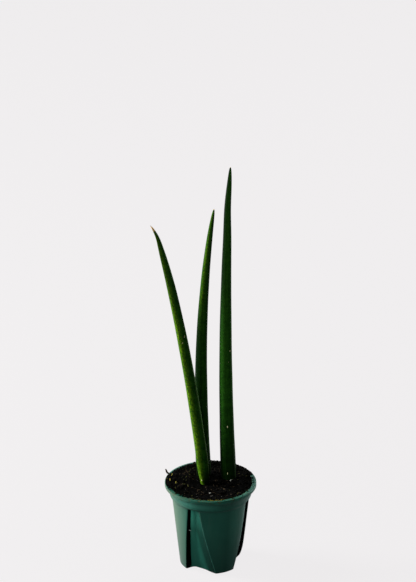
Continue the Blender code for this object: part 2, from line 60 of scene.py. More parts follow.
POT_LOW, POT_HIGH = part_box("pot")
POT_HEIGHT = POT_HIGH[2] - POT_LOW[2]
RIM_RADIUS = (POT_HIGH[1] - POT_LOW[1]) / 2.0
LIP_WIDTH = 3.0 * MM
LIP_HEIGHT = 2.6 * MM
LIP_ROUND = 0.55 * MM
COLLAR_RADIUS = 30.5 * MM
COLLAR_BAND = 6.8 * MM
COLLAR_STEP = 0.35 * MM
FLARE_DEPTH = 18.0 * MM
FLARE_POWER = 1.6
BASE_RADIUS = 21.2 * MM
WAIST_RADIUS = 26.1 * MM
WALL = 0.9 * MM
FLOOR = 1.2 * MM
BASE_CHAMFER = 0.7 * MM
SLIT_TOP = 50.8 * MM
FIRST_STEP_AZIMUTH = -36.5
FRONT_PITCH = 101.5
STEP_SWEEP = -17.0
PANEL_ANGLE_TOP = 20.3
PANEL_ANGLE_BASE = 63.5
PANEL_POWER = 1.55
STEP_DEPTH_TOP = 3.1 * MM
STEP_DEPTH_BASE = 4.2 * MM
SLIT_CLEARANCE = 0.6 * MM
DRAIN_SLOT_LENGTH = 5.0 * MM
DRAIN_SLOT_WIDTH = 2.4 * MM
DRAIN_HOLE_RADIUS = 2.0 * MM
DRAIN_CIRCLE_RADIUS = 9.0 * MM
SOIL_DROP = 1.3 * MM
GAP = 0.3 * MM

# ---- Sizes that only the looks have ----

PANEL_COLUMNS = 12
ARC_COLUMNS = 30
SLIT_LEVELS = 34
COLLAR_LEVELS = 14
FOOT_LIFT = 1.1 * MM
FOOT_ZONE = 7.0 * MM
EDGE_ROUND = 0.28 * MM
RIDGE_BEAD = 0.14 * MM
CREASE_BEAD = 0.18 * MM
# The bead at the foot of the collar's band: millimetres up, and share of the bead
CREASE_PROFILE = ((0.05, 0.5), (0.2, 0.9), (0.45, 1.0), (0.7, 0.8), (1.0, 0.3))
LEDGE_RISE = 1.0 * MM
LEDGE_LEVELS = 4
FLOOR_RINGS = (0.93, 0.8, 0.55, 0.25)

LEDGE_TOP = SLIT_TOP + LEDGE_RISE
FLARE_FOOT = POT_HEIGHT - FLARE_DEPTH
LIP_FOOT = POT_HEIGHT - LIP_HEIGHT
MOUTH = RIM_RADIUS - LIP_WIDTH

# Azimuth of each step at the top of the slits, two in front and one behind, and that of the next one
SECOND_STEP_AZIMUTH = FIRST_STEP_AZIMUTH + FRONT_PITCH
BACK_STEP_AZIMUTH = SECOND_STEP_AZIMUTH + (360.0 - FRONT_PITCH) / 2.0
STEP_AZIMUTHS = [FIRST_STEP_AZIMUTH, SECOND_STEP_AZIMUTH, BACK_STEP_AZIMUTH]
SECTORS = list(zip(STEP_AZIMUTHS, STEP_AZIMUTHS[1:] + [FIRST_STEP_AZIMUTH + 360.0]))

# The pot is a little out of true on its right side: that step bows by this many degrees half way down,
# and its panel widens later
RIGHT_STEP_BOW = 5.0
RIGHT_PANEL_POWER = 4.0

# Near-black marks on the wall: azimuth of a step, and degrees of wall darkened beyond it
DARK_MARKS = ((FIRST_STEP_AZIMUTH, 2.2), (SECOND_STEP_AZIMUTH, 120.0))


# ---- Small helpers ----


def smooth_step(low, high, value):
    """0 at low and before it, 1 at high and past it, smooth between. low may be the larger."""
    share = min(max((value - low) / (high - low), 0.0), 1.0)
    return share * share * (3.0 - 2.0 * share)


def direction(azimuth):
    """Horizontal unit vector at an azimuth in degrees."""
    angle = math.radians(azimuth)
    return Vector((math.sin(angle), -math.cos(angle), 0.0))


def new_object(name, data):
    """An object in the scene."""
    obj = bpy.data.objects.new(name, data)
    bpy.context.scene.collection.objects.link(obj)
    return obj


def add_piece(name, mesh, material, slot, *nodes):
    """An object that rides on the body, takes the material and stands for the CAD nodes. slot is not
    used.
    """
    obj = new_object(name, mesh)
    mesh.materials.append(material)
    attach(obj, BODY)
    if nodes:
        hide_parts(*nodes)
    return obj


def ring_of(work, points):
    """A vertex at each point."""
    return [work.verts.new(p) for p in points]


def raised(points, height):
    """The points of an outline as tuples, at a height."""
    return [(p.x, p.y, height) for p in points]


def skin(work, rings, gaps=()):
    """Quads between each ring of vertices and the next, apart from those after the columns in gaps."""
    for low, high in zip(rings, rings[1:]):
        for j in range(len(low)):
            if j not in gaps:
                k = (j + 1) % len(low)
                work.faces.new((low[j], low[k], high[k], high[j]))


def fan(work, ring, height, underside=False):
    """Triangles that close a ring at the pot's middle."""
    centre = work.verts.new((0.0, 0.0, height))
    for a, b in zip(ring, ring[1:] + ring[:1]):
        work.faces.new((a, centre, b) if underside else (a, b, centre))


def smooth(mesh, sharp_angle):
    """Smooth shading, apart from edges sharper than an angle in degrees."""
    mesh.shade_smooth()
    mesh.set_sharp_from_angle(angle=math.radians(sharp_angle))


def mesh_of(name, work, sharp_angle=40.0):
    """A smooth-shaded mesh from bmesh data, which is freed."""
    mesh = bpy.data.meshes.new(name)
    work.to_mesh(mesh)
    work.free()
    smooth(mesh, sharp_angle)
    return mesh


# ---- Materials ----


class Nodes:
    """A node tree with short calls for its nodes."""

    def __init__(self, tree):
        self.tree = tree

    def node(self, kind, inputs=None, **settings):
        """A new node, with its settings and what goes into its sockets."""
        made = self.tree.nodes.new(f"ShaderNode{kind}")
        for name, value in settings.items():
            setattr(made, name, value)
        for socket, value in (inputs or {}).items():
            self.feed(made.inputs[socket], value)
        return made

    def feed(self, socket, value):
        """Links value to a socket if it is an output, and else sets it. None leaves the socket alone."""
        if isinstance(value, bpy.types.NodeSocket):
            self.tree.links.new(value, socket)
        elif value is not None:
            socket.default_value = value

    def between(self, value, low, high, out_low=0.0, out_high=1.0):
        """value rescaled from one range to another, and held within it."""
        ends = {"From Min": low, "From Max": high, "To Min": out_low, "To Max": out_high}
        return self.node("MapRange", {"Value": value, **ends}).outputs["Result"]

    def maths(self, operation, *values):
        """The values put together one by one, from the left."""
        total = values[0]
        for value in values[1:]:
            total = self.node("Math", {0: total, 1: value}, operation=operation).outputs[0]
        return total

    times = partialmethod(maths, "MULTIPLY")
    plus = partialmethod(maths, "ADD")
    minus = partialmethod(maths, "SUBTRACT")


class Surface(Nodes):
    """A Principled material."""

    def __init__(self, name, roughness=0.5, specular=0.5):
        self.material = bpy.data.materials.new(name)
        self.material.use_nodes = True
        super().__init__(self.material.node_tree)
        self.shader = self.tree.nodes["Principled BSDF"]
        self.shader.inputs["Roughness"].default_value = roughness
        self.shader.inputs["Specular IOR Level"].default_value = specular
        self.place = self.node("TexCoord").outputs["Object"]

    def texture(self, kind, scale, output, **inputs):
        """A texture's output. scale is one number, or one for each axis."""
        place = self.place
        if isinstance(scale, tuple):
            place = self.node("Mapping", {"Vector": place, "Scale": scale}).outputs["Vector"]
            scale = 1.0
        return self.node(kind, {"Vector": place, "Scale": scale, **inputs}).outputs[output]

    def noise(self, scale, detail=3.0, roughness=0.55, distortion=0.0):
        more = {"Detail": detail, "Roughness": roughness, "Distortion": distortion}
        return self.texture("TexNoise", scale, "Fac", **more)

    def voronoi(self, scale, output="Distance"):
        return self.texture("TexVoronoi", scale, output)

    def ramp(self, value, *stops):
        """Colours along value: each stop is (position, colour)."""
        made = self.node("ValToRGB", {"Fac": value})
        marks = made.color_ramp.elements
        for mark, (position, colour) in zip(marks, stops, strict=True):
            mark.position = position
            mark.color = (*colour, 1.0)
        return made.outputs["Color"]

    def mix(self, factor, a, b, blend="MIX"):
        """Colour a mixed with colour b by factor."""
        made = self.node("Mix", {"Factor": factor}, data_type="RGBA", blend_type=blend)
        colours = [socket for socket in made.inputs if socket.type == "RGBA"]
        for socket, value in zip(colours, (a, b)):
            self.feed(socket, (*value, 1.0) if isinstance(value, tuple) else value)
        return next(socket for socket in made.outputs if socket.type == "RGBA")

    def layers(self, colour, *layers):
        """A colour with others laid over it in turn: each layer is (share, colour)."""
        for share, tint in layers:
            colour = self.mix(share, colour, tint)
        return colour

    def axis(self, letter):
        """One coordinate of the place, in metres."""
        return self.node("SeparateXYZ", {0: self.place}).outputs[letter]

    @cached_property
    def height(self):
        return self.axis("Z")

    def above_rim(self, low, high, out_low=0.0, out_high=1.0):
        """A value that changes between two heights, in millimetres above the rim."""
        low, high = POT_HEIGHT + low * MM, POT_HEIGHT + high * MM
        return self.between(self.height, low, high, out_low, out_high)

    def facing(self):
        """How far the surface faces to the right, and how far to the left."""
        normal = self.node("TexCoord").outputs["Normal"]
        rightward = self.node("SeparateXYZ", {0: normal}).outputs["X"]
        return rightward, self.times(rightward, -1.0)

    def bump(self, height, distance, strength=1.0, normal=None):
        sockets = {"Strength": strength, "Distance": distance, "Height": height, "Normal": normal}
        return self.node("Bump", sockets).outputs["Normal"]

    def finish(self, colour, roughness=None, normal=None):
        for name, value in (("Base Color", colour), ("Roughness", roughness), ("Normal", normal)):
            self.feed(self.shader.inputs[name], value)
        return self.material


# Colours of the pot
GREEN_DARK = (0.022, 0.146, 0.104)
GREEN_LIGHT = (0.029, 0.176, 0.124)
GREEN_STREAK = (0.075, 0.190, 0.140)
# Painted shade on the lip's front
GREEN_LIP_PAINTED_SHADE = (0.008, 0.062, 0.038)
# Painted sheen on the side that faces left
GREEN_PAINTED_SHEEN = (0.120, 0.112, 0.066)
# Painted light on the side that faces right, and a painted highlight nearer its edge
GREEN_PAINTED_RIGHT_LIGHT = (0.078, 0.330, 0.240)
GREEN_PAINTED_RIGHT_HIGHLIGHT = (0.210, 0.420, 0.350)
# Painted shade, darker towards the bottom
GREEN_PAINTED_LOW_SHADE = (0.006, 0.040, 0.030)
# Painted highlight on the ridges
GREEN_RIDGE_PAINTED_HIGHLIGHT = (0.060, 0.280, 0.215)
# Painted light on the collar, towards the left
GREEN_COLLAR_PAINTED_LIGHT = (0.080, 0.410, 0.300)
SOILED_RIM = (0.055, 0.060, 0.022)
LIME = (0.16, 0.20, 0.17)
# Near-black marks by the slits
NEAR_BLACK_MARK = ((0.0010, 0.0012, 0.0010), (0.0090, 0.0105, 0.0075))

# How far in from the full round radius the panels' looks set in, and are complete
PANEL_EDGE = (0.03 * MM, 0.12 * MM)


def pot_plastic():
    """Satin moulded dark teal plastic: scratches, lime specks, soiled rim, near-black slit marks,
    painted light and shade.
    """
    s = Surface("pot_plastic", specular=0.3)
    depth = recess_depth(s)
    on_panel = s.times(s.between(depth, *PANEL_EDGE), s.between(s.height, SLIT_TOP, LEDGE_TOP, 1.0, 0.0))
    full_round = s.between(depth, *PANEL_EDGE, 1.0, 0.0)
    rightward, leftward = s.facing()
    soiled, dull_painted_shade = rim_marks(s)
    cloud = s.noise(60.0, 4.0)
    low = s.plus(s.height, s.times(s.noise(90.0, 5.0, 0.6), 14.0 * MM))
    colour = s.layers(
        s.ramp(cloud, (0.3, GREEN_DARK), (0.7, GREEN_LIGHT)),
        (s.between(s.noise((260.0, 260.0, 30.0), 4.0), 0.52, 0.8, 0.0, 0.3), GREEN_STREAK),
        # Painted shade on the lip's front, which is also less glossy
        (dull_painted_shade, GREEN_LIP_PAINTED_SHADE),
        # Painted sheen on the side that faces left
        (s.times(s.between(leftward, 0.45, 1.0, 0.0, 0.55), full_round), GREEN_PAINTED_SHEEN),
        # Painted light on the side that faces right, and a painted highlight nearer its edge
        (s.times(s.between(rightward, 0.48, 0.72, 0.0, 0.85), full_round), GREEN_PAINTED_RIGHT_LIGHT),
        (s.times(s.between(rightward, 0.82, 0.90, 0.0, 0.6), full_round), GREEN_PAINTED_RIGHT_HIGHLIGHT),
        (s.times(soiled, 0.7), SOILED_RIM),
        (s.between(s.noise(900.0, 2.0), 0.68, 0.74, 0.0, 0.35), LIME),
        # Painted shade, darker towards the bottom
        (s.between(low, 10.0 * MM, 44.0 * MM, 0.62, 0.0), GREEN_PAINTED_LOW_SHADE),
    )
    dark_marks = recess_dark_marks(s, depth)
    colour = s.layers(
        colour,
        # Painted light and shade on the panels
        (on_panel, s.mix(1.0, colour, panel_painted_light(s, depth), "MULTIPLY")),
        # Painted highlight on the ridges
        (ridge_painted_highlight(s, depth), GREEN_RIDGE_PAINTED_HIGHLIGHT),
        # Painted light on the collar, towards the left
        (collar_painted_light(s, rightward), GREEN_COLLAR_PAINTED_LIGHT),
        # Near-black marks by the slits
        (dark_marks, s.mix(s.between(s.noise(620.0, 5.0, 0.7), 0.50, 0.64), *NEAR_BLACK_MARK)),
    )
    rough = s.plus(s.between(cloud, 0.3, 0.7, 0.44, 0.56), s.times(soiled, 0.3), s.times(dark_marks, 0.4))
    gloss = s.times(
        s.between(dark_marks, 0.0, 1.0, 0.3, 0.01),
        s.between(on_panel, 0.0, 1.0, 1.0, 0.12),
        s.between(dull_painted_shade, 0.0, 0.85, 1.0, 0.35),
    )
    s.feed(s.shader.inputs["Specular IOR Level"], gloss)
    grain = s.bump(s.noise(2600.0, 2.0), 0.03 * MM, 0.35)
    flow = s.bump(s.noise((90.0, 90.0, 45.0), 3.0), 0.35 * MM, 0.35, grain)
    scratches = s.between(s.noise((1800.0, 1800.0, 60.0), 2.0, 0.5), 0.62, 0.72)
    return s.finish(colour, rough, s.bump(scratches, 0.02 * MM, 0.5, flow))


def rim_marks(s):
    """How soiled the rim is, and where the lip's front is dull and darkened by painted shade."""
    in_front = s.between(s.axis("Y"), 4.0 * MM, -14.0 * MM, 0.3, 0.85)
    not_right = s.between(s.axis("X"), 16.0 * MM, 27.0 * MM, 1.0, 0.3)
    soiled = s.times(s.above_rim(-5.0, -0.3), s.between(s.noise(420.0, 5.0, 0.7), 0.50, 0.62))
    return soiled, s.times(s.above_rim(-0.9, -0.2), in_front, not_right)


def panel_painted_light(s, depth):
    """Painted light and shade on a panel against the wall: darkest by its ridge, brightest by its slit
    and high up.
    """
    shallower = (STEP_DEPTH_TOP - STEP_DEPTH_BASE) / SLIT_TOP
    sunk = s.maths("DIVIDE", depth, s.plus(s.times(s.height, shallower), STEP_DEPTH_BASE))
    tone = s.plus(s.between(sunk, 0.0, 0.65, 0.30, 0.58), s.between(sunk, 0.65, 1.0, 0.0, 1.55))
    return s.times(tone, s.between(s.height, 34.0 * MM, 46.0 * MM, 1.05, 2.6))


def ridge_painted_highlight(s, depth):
    """The bead along each ridge, with a painted highlight."""
    return s.times(
        s.between(depth, -0.05 * MM, -0.10 * MM),
        s.between(depth, -0.40 * MM, -0.25 * MM),
        s.between(s.height, FLARE_FOOT - 2.0 * MM, FLARE_FOOT, 0.8, 0.0),
    )


def collar_painted_light(s, rightward):
    """Painted light on the collar's band, brighter towards the left."""
    return s.times(
        s.between(s.height, SLIT_TOP + 2.0 * MM, SLIT_TOP + 5.0 * MM),
        s.above_rim(-4.0, -2.0, 0.9, 0.0),
        s.between(rightward, 0.25, -0.35, 0.05, 1.0),
        s.between(rightward, -0.45, -0.75, 1.0, 0.2),
    )


def recess_depth(s):
    """How far the wall is sunk under its full round radius."""
    x, y = s.axis("X"), s.axis("Y")
    full = s.plus(s.times(s.height, (WAIST_RADIUS - BASE_RADIUS) / FLARE_FOOT), BASE_RADIUS)
    return s.minus(full, s.maths("SQRT", s.plus(s.times(x, x), s.times(y, y)), 0.0))


def recess_dark_marks(s, depth):
    """Near-black marks beside the left-hand slit, and all over the right-hand recess."""
    round_from_front = s.maths("ARCTAN2", s.axis("X"), s.times(s.axis("Y"), -1.0))
    unswept = s.plus(round_from_front, s.times(s.height, math.radians(STEP_SWEEP) / SLIT_TOP))
    waver = s.times(s.minus(s.noise(260.0, 4.0, 0.6), 0.5), 0.05)
    marks = []
    for azimuth, darkened_degrees in DARK_MARKS:
        past_step = s.minus(unswept, math.radians(azimuth + STEP_SWEEP))
        reach = s.plus(past_step, waver)
        near = s.between(reach, math.radians(0.5 * darkened_degrees), math.radians(darkened_degrees), 1.0, 0.0)
        marks.append(s.times(near, s.between(past_step, -0.004, 0.004)))
    sunk = s.between(depth, 0.03 * MM, 0.15 * MM)
    under_collar = s.between(s.height, SLIT_TOP - 0.5 * MM, SLIT_TOP + 1.5 * MM, 1.0, 0.0)
    return s.times(s.maths("MAXIMUM", *marks), sunk, under_collar)


# Painted rim light on the leaves' right edges
LEAF_PAINTED_RIM_LIGHT = (0.080, 0.190, 0.030)
# Painted shade on the side facing left, higher up
LEAF_PAINTED_SHADE = (0.0015, 0.0080, 0.0012)
LEAF_SHADE = (0.0008, 0.0030, 0.0008)
LEAF_DRY = (0.90, 0.56, 0.20)


def leaf_skin(name, look, height_high):
    """Leaf skin: dark green with fine mottling, faint lengthwise lines, painted light and shade, and a
    dry tip.
    """
    s = Surface(name, specular=look["gloss"])
    rightward, leftward = s.facing()
    lines = s.noise((1300.0, 1300.0, 22.0))
    patches = s.noise((420.0, 420.0, 230.0), 5.0, 0.65)
    bands = s.noise((70.0, 70.0, 420.0), 3.0, 0.5, 0.6)
    freckles = s.voronoi((760.0, 760.0, 460.0))
    spots = s.between(s.noise((900.0, 900.0, 620.0), 4.0, 0.7), 0.42, 0.58, 0.10, 1.0)
    clouds = s.between(s.noise((60.0, 60.0, 34.0), 3.0, 0.5), 0.36, 0.60, 0.5, 1.0)
    painted_light_side = s.between(leftward, *look["painted_light_side"])
    painted_light = s.times(painted_light_side, s.above_rim(*look["painted_light_from"]), clouds, spots)
    left_shade_from, left_shade_to, left_shade_amount = look["left_painted_shade"]
    dull_painted_shade = s.times(s.between(leftward, -0.2, 0.6), s.above_rim(left_shade_from, left_shade_to, 0.0, left_shade_amount))
    shade, reach, from_side = look["foot_shade"]
    from_side = s.between(rightward, from_side, from_side + 0.4)
    shaded = s.times(s.above_rim(0.0, reach, shade, 0.0), from_side)
    ragged = s.plus(s.height, s.times(s.minus(s.noise(500.0), 0.5), 2.5 * MM))
    dry = look["dry_tip"] * MM
    colour = s.layers(
        s.ramp(patches, (0.34, look["dark"]), (0.66, look["light"])),
        (s.between(bands, 0.48, 0.62, 0.0, 0.6), look["tint"]),
        (s.between(lines, 0.50, 0.68, 0.0, 0.45), tuple(0.4 * c for c in look["dark"])),
        (s.between(freckles, 0.12, 0.30, 0.6, 0.0), tuple(1.9 * c for c in look["light"])),
        # Painted light on the side facing left
        (painted_light, look["painted_light"]),
        # Painted light on the left leaf's left edge, painted shade on the other leaves' left edges
        (s.between(leftward, 0.62, 0.98, 0.0, look["left_edge"]), look["edge"]),
        # Painted rim light on the right edge
        (s.between(rightward, 0.80, 0.96, 0.0, look["right_painted_rim_light"]), LEAF_PAINTED_RIM_LIGHT),
        # Painted shade on the side facing left, higher up
        (dull_painted_shade, LEAF_PAINTED_SHADE),
        (shaded, LEAF_SHADE),
        (s.between(ragged, height_high - dry, height_high - 0.7 * dry), LEAF_DRY),
    )
    rough = s.between(patches, 0.3, 0.7, 0.48, 0.64)
    veins = s.bump(lines, 0.10 * MM, 0.5)
    return s.finish(colour, rough, s.bump(s.noise(1900.0), 0.04 * MM, 0.5, veins))


def soil_earth(name, dark, light):
    """Moist potting soil: almost black, with browner crumbs."""
    s = Surface(name, roughness=0.95, specular=0.03)
    tone = s.times(s.noise(520.0, 5.0, 0.75), s.noise(2100.0, 2.0))
    colour = s.ramp(tone, (0.14, dark), (0.44, light))
    colour = s.mix(0.25, colour, s.voronoi(700.0, "Color"), "MULTIPLY")
    return s.finish(colour, None, s.bump(s.noise(1500.0, 6.0, 0.8), 0.5 * MM))


def dry_matter(name, dark, light):
    """Dry fibre, bark or mineral: mottled, rough and dull."""
    s = Surface(name, roughness=0.85, specular=0.2)
    colour = s.ramp(s.noise(900.0, 5.0, 0.7), (0.35, dark), (0.65, light))
    return s.finish(colour, None, s.bump(s.noise(2500.0, 4.0, 0.7), 0.12 * MM, 0.8))


# ---- Pot ----


def body_radius(height):
    """Outside radius of the plain tapered body at a height."""
    return BASE_RADIUS + (WAIST_RADIUS - BASE_RADIUS) * height / FLARE_FOOT


def wall_radius(height):
    """Outside radius at a height: the tapered body, which flares into the collar near its top."""
    if height <= FLARE_FOOT:
        return body_radius(height)
    share = min((height - FLARE_FOOT) / (LIP_FOOT - FLARE_FOOT), 1.0)
    flared = body_radius(height) + (COLLAR_RADIUS - body_radius(LIP_FOOT)) * share**FLARE_POWER
    return flared if height > LIP_FOOT - COLLAR_BAND else flared - COLLAR_STEP


def inner_radius(height):
    """Inside radius at a height. The mouth is never narrower than what lies under it."""
    return min(MOUTH, wall_radius(height) - WALL)


def step_turn(azimuth, height):
    """How far a step has swept round at a height."""
    fall = 1.0 - height / SLIT_TOP
    bow = RIGHT_STEP_BOW if azimuth == SECOND_STEP_AZIMUTH else 0.0
    return STEP_SWEEP * fall + bow * 4.0 * fall * (1.0 - fall)


def recess(azimuth, height, inset):
    """Inner corner of a recess, the panel's direction and the panel's length up to its ridge."""
    fall = 1.0 - height / SLIT_TOP
    growth = max(fall, 0.0) ** (RIGHT_PANEL_POWER if azimuth == SECOND_STEP_AZIMUTH else PANEL_POWER)
    panel_turn = (PANEL_ANGLE_BASE - PANEL_ANGLE_TOP + STEP_SWEEP) * growth
    depth = STEP_DEPTH_TOP + (STEP_DEPTH_BASE - STEP_DEPTH_TOP) * fall
    radius = body_radius(height)
    outward = direction(azimuth + step_turn(azimuth, height))
    corner = outward * (radius - depth)
    ridge = direction(azimuth + PANEL_ANGLE_TOP + panel_turn) * radius
    along = (ridge - corner).normalized()
    away = Vector((along.y, -along.x, 0.0))
    corner = corner - away * inset
    start = SLIT_CLEARANCE / outward.cross(along).length
    half = corner.dot(along)
    reach = -half + math.sqrt(half * half - corner.length_squared + (radius - inset) ** 2)
    return corner + along * start, along, reach - start


def recessed_outline(height, inset):
    """The wall's outline at a height under the collar: for each sector its panel and then its arc."""
    points = []
    radius = body_radius(height) - inset
    for azimuth, following in SECTORS:
        start, along, length = recess(azimuth, height, inset)
        panel = [start + along * (length * i / PANEL_COLUMNS) for i in range(PANEL_COLUMNS + 1)]
        if not inset:
            panel[-1] = panel[-1].normalized() * (radius + RIDGE_BEAD)
        ridge = math.degrees(math.atan2(panel[-1].x, -panel[-1].y))
        ridge += 360.0 * round((azimuth + PANEL_ANGLE_TOP - ridge) / 360.0)
        end = following + step_turn(following, height)
        sweep = [ridge + (end - ridge) * i / ARC_COLUMNS for i in range(1, ARC_COLUMNS + 1)]
        points += panel + [direction(a) * radius for a in sweep]
    return points


def round_outline(radius):
    """A circle whose points stand at the azimuths of the wall's columns."""
    return [p.normalized() * radius for p in recessed_outline(SLIT_TOP, 0.0)]


def ledge_outline(share, inset):
    """The outline part of the way up the ledge over the recesses, which fade into the round wall."""
    sunk = recessed_outline(SLIT_TOP, inset)
    full = round_outline(wall_radius(SLIT_TOP + LEDGE_RISE * share) - inset)
    fade = smooth_step(0.0, 1.0, share)
    return [a.lerp(b, fade) for a, b in zip(sunk, full)]


def arc(centre, radius, start, end, steps):
    """(radius, height) points of an arc in the profile's plane, with angles in degrees."""
    angles = [math.radians(start + (end - start) * i / steps) for i in range(steps + 1)]
    return [(centre[0] + radius * math.cos(a), centre[1] + radius * math.sin(a)) for a in angles]


def spread(low, high, steps):
    """Evenly spaced values from low to high, both included."""
    return [low + (high - low) * i / steps for i in range(steps + 1)]


def collar_and_lip():
    """(radius, height) of the pot's round part: up its outside, over the lip and down its inside."""
    band_foot = LIP_FOOT - COLLAR_BAND
    outside = [(wall_radius(z), z) for z in spread(LEDGE_TOP, band_foot, 3)]
    for rise, share in CREASE_PROFILE:
        z = band_foot + rise * MM
        outside.append((wall_radius(z) + CREASE_BEAD * share, z))
    outside += [(wall_radius(z), z) for z in spread(band_foot + 1.3 * MM, LIP_FOOT, COLLAR_LEVELS)]
    lip = arc((RIM_RADIUS - LIP_ROUND, LIP_FOOT + LIP_ROUND), LIP_ROUND, -90, 0, 4)
    lip += arc((RIM_RADIUS - LIP_ROUND, POT_HEIGHT - LIP_ROUND), LIP_ROUND, 0, 90, 5)
    lip += arc((MOUTH + LIP_ROUND, POT_HEIGHT - LIP_ROUND), LIP_ROUND, 90, 180, 5)
    inside = [(inner_radius(z), z) for z in spread(LIP_FOOT, LEDGE_TOP + WALL, 12)]
    return outside + lip + inside


def make_pot_mesh():
    """The pot's shell as one closed mesh: outer skin, lip, inner skin, floor, and the slits' edges."""
    work = bmesh.new()
    columns = PANEL_COLUMNS + 1 + ARC_COLUMNS
    open_after = [columns * (sector + 1) - 1 for sector in range(3)]

    def ring(outline, height):
        return ring_of(work, raised(outline, height))

    heights = spread(FLOOR, SLIT_TOP, SLIT_LEVELS)
    stretch = (SLIT_TOP + WALL - FLOOR) / (SLIT_TOP - FLOOR)
    outer = [ring(recessed_outline(z, 0.0), z) for z in heights]
    inner_heights = [FLOOR + (z - FLOOR) * stretch for z in heights]
    inner = [ring(recessed_outline(min(z, SLIT_TOP), WALL), z) for z in inner_heights]
    skin(work, outer, open_after)
    for low, high in zip(inner, inner[1:]):
        skin(work, [high, low], open_after)
    for j in open_after:
        k = (j + 1) % len(outer[0])
        for i in range(SLIT_LEVELS):
            work.faces.new((outer[i][j], inner[i][j], inner[i + 1][j], outer[i + 1][j]))
            work.faces.new((outer[i][k], outer[i + 1][k], inner[i + 1][k], inner[i][k]))
        work.faces.new((outer[0][k], inner[0][k], inner[0][j], outer[0][j]))
        work.faces.new((outer[-1][j], inner[-1][j], inner[-1][k], outer[-1][k]))

    shares = spread(0.0, 1.0, LEDGE_LEVELS)[1:-1]
    ledges = [(share, SLIT_TOP + LEDGE_RISE * share) for share in shares]
    rounds = [ring(ledge_outline(share, 0.0), z) for share, z in ledges]
    rounds += [ring(round_outline(r), z) for r, z in collar_and_lip()]
    rounds += [ring(ledge_outline(share, WALL), z + WALL) for share, z in reversed(ledges)]
    skin(work, [outer[-1], *rounds, inner[-1]])

    side_foot = ring(recessed_outline(BASE_CHAMFER, 0.0), BASE_CHAMFER)
    edge = ring(recessed_outline(0.0, BASE_CHAMFER * 0.8), 0.0)
    skin(work, [side_foot, outer[0]])
    skin(work, [edge, side_foot])
    for start, height, underside in ((edge, 0.0, True), (inner[0], FLOOR, False)):
        last = start
        for share in FLOOR_RINGS:
            fresh = ring_of(work, [(v.co.x * share, v.co.y * share, height) for v in start])
            skin(work, [fresh, last] if underside else [last, fresh])
            last = fresh
        fan(work, last, height, underside)
    bmesh.ops.remove_doubles(work, verts=work.verts, dist=0.002 * MM)
    bmesh.ops.dissolve_degenerate(work, edges=work.edges, dist=0.001 * MM)
    bmesh.ops.recalc_face_normals(work, faces=work.faces)
    lift_between_feet(work)
    return mesh_of("pot_shell", work, 30.0)


def lift_between_feet(work):
    """Raises the wall's foot along each panel, so that the pot stands on its three full sectors."""
    for vertex in work.verts:
        if vertex.co.z > FOOT_ZONE:
            continue
        azimuth = math.degrees(math.atan2(vertex.co.x, -vertex.co.y))
        arch = 0.0
        for step in STEP_AZIMUTHS:
            from_step = (azimuth - step - STEP_SWEEP) % 360.0
            rise = smooth_step(0.0, 12.0, from_step)
            arch = max(arch, rise * smooth_step(PANEL_ANGLE_BASE, 34.0, from_step))
        arch *= smooth_step(9.0 * MM, 15.0 * MM, math.hypot(vertex.co.x, vertex.co.y))
        vertex.co.z += FOOT_LIFT * arch * (1.0 - vertex.co.z / FOOT_ZONE)


def drain_cutter():
    """Slots and round holes in the floor, as one mesh to cut with."""
    work = bmesh.new()
    azimuths = [azimuth + STEP_SWEEP for azimuth in STEP_AZIMUTHS]
    size = (DRAIN_SLOT_WIDTH, DRAIN_SLOT_LENGTH, 6.0 * FLOOR)
    offset = body_radius(0.0) - STEP_DEPTH_BASE - DRAIN_SLOT_LENGTH / 2.0 - 2.0 * WALL
    for azimuth in azimuths:
        slot = bmesh.ops.create_cube(work, size=1.0)["verts"]
        bmesh.ops.scale(work, vec=size, verts=slot)
        spin = Matrix.Rotation(math.radians(azimuth), 3, "Z")
        bmesh.ops.rotate(work, verts=slot, cent=(0, 0, 0), matrix=spin)
        bmesh.ops.translate(work, verts=slot, vec=direction(azimuth) * offset)
    radii = {"radius1": DRAIN_HOLE_RADIUS, "radius2": DRAIN_HOLE_RADIUS}
    for azimuth, following in zip(azimuths, azimuths[1:] + [azimuths[0] + 360.0]):
        hole = bmesh.ops.create_cone(work, cap_ends=True, segments=40, depth=size[2], **radii)["verts"]
        middle = direction((azimuth + following) / 2.0)
        bmesh.ops.translate(work, verts=hole, vec=middle * DRAIN_CIRCLE_RADIUS)
    mesh = bpy.data.meshes.new("drains")
    work.to_mesh(mesh)
    work.free()
    return mesh


def make_pot():
    """The pot, with its drains cut and its edges rounded."""
    pot = add_piece("pot_shell", make_pot_mesh(), pot_plastic(), "pot_plastic", "pot")
    tool = new_object("drains", drain_cutter())
    cut = pot.modifiers.new("drains", "BOOLEAN")
    cut.object = tool
    cut.operation = "DIFFERENCE"
    round_edges = pot.modifiers.new("edges", "BEVEL")
    round_edges.width = EDGE_ROUND
    round_edges.segments = 2
    round_edges.limit_method = "ANGLE"
    round_edges.angle_limit = math.radians(32.0)
    apply_modifiers(pot)
    bpy.data.objects.remove(tool, do_unlink=True)


def apply_modifiers(obj):
    """Replaces an object's mesh with what its modifiers make of it."""
    graph = bpy.context.evaluated_depsgraph_get()
    made = bpy.data.meshes.new_from_object(obj.evaluated_get(graph))
    obj.modifiers.clear()
    obj.data = made
    smooth(made, 38.0)


# ---- Leaves ----


class Leaf(NamedTuple):
    """A round leaf: a smooth axis from the soil to the tip, and a radius that tapers along it."""

    axis: tuple  # four handles in millimetres: x, y, height above the rim
    radius: float  # at the foot, in millimetres
    fullness: float  # how long the leaf stays full
    taper: float  # how bluntly it ends
    flare: float  # millimetres that its foot widens
    narrowing: float  # how much thinner it is where it enters the soil
    wither: float  # how much thinner its dry end is
    sway: float  # millimetres that it sways to the right just under the tip
    seed: int


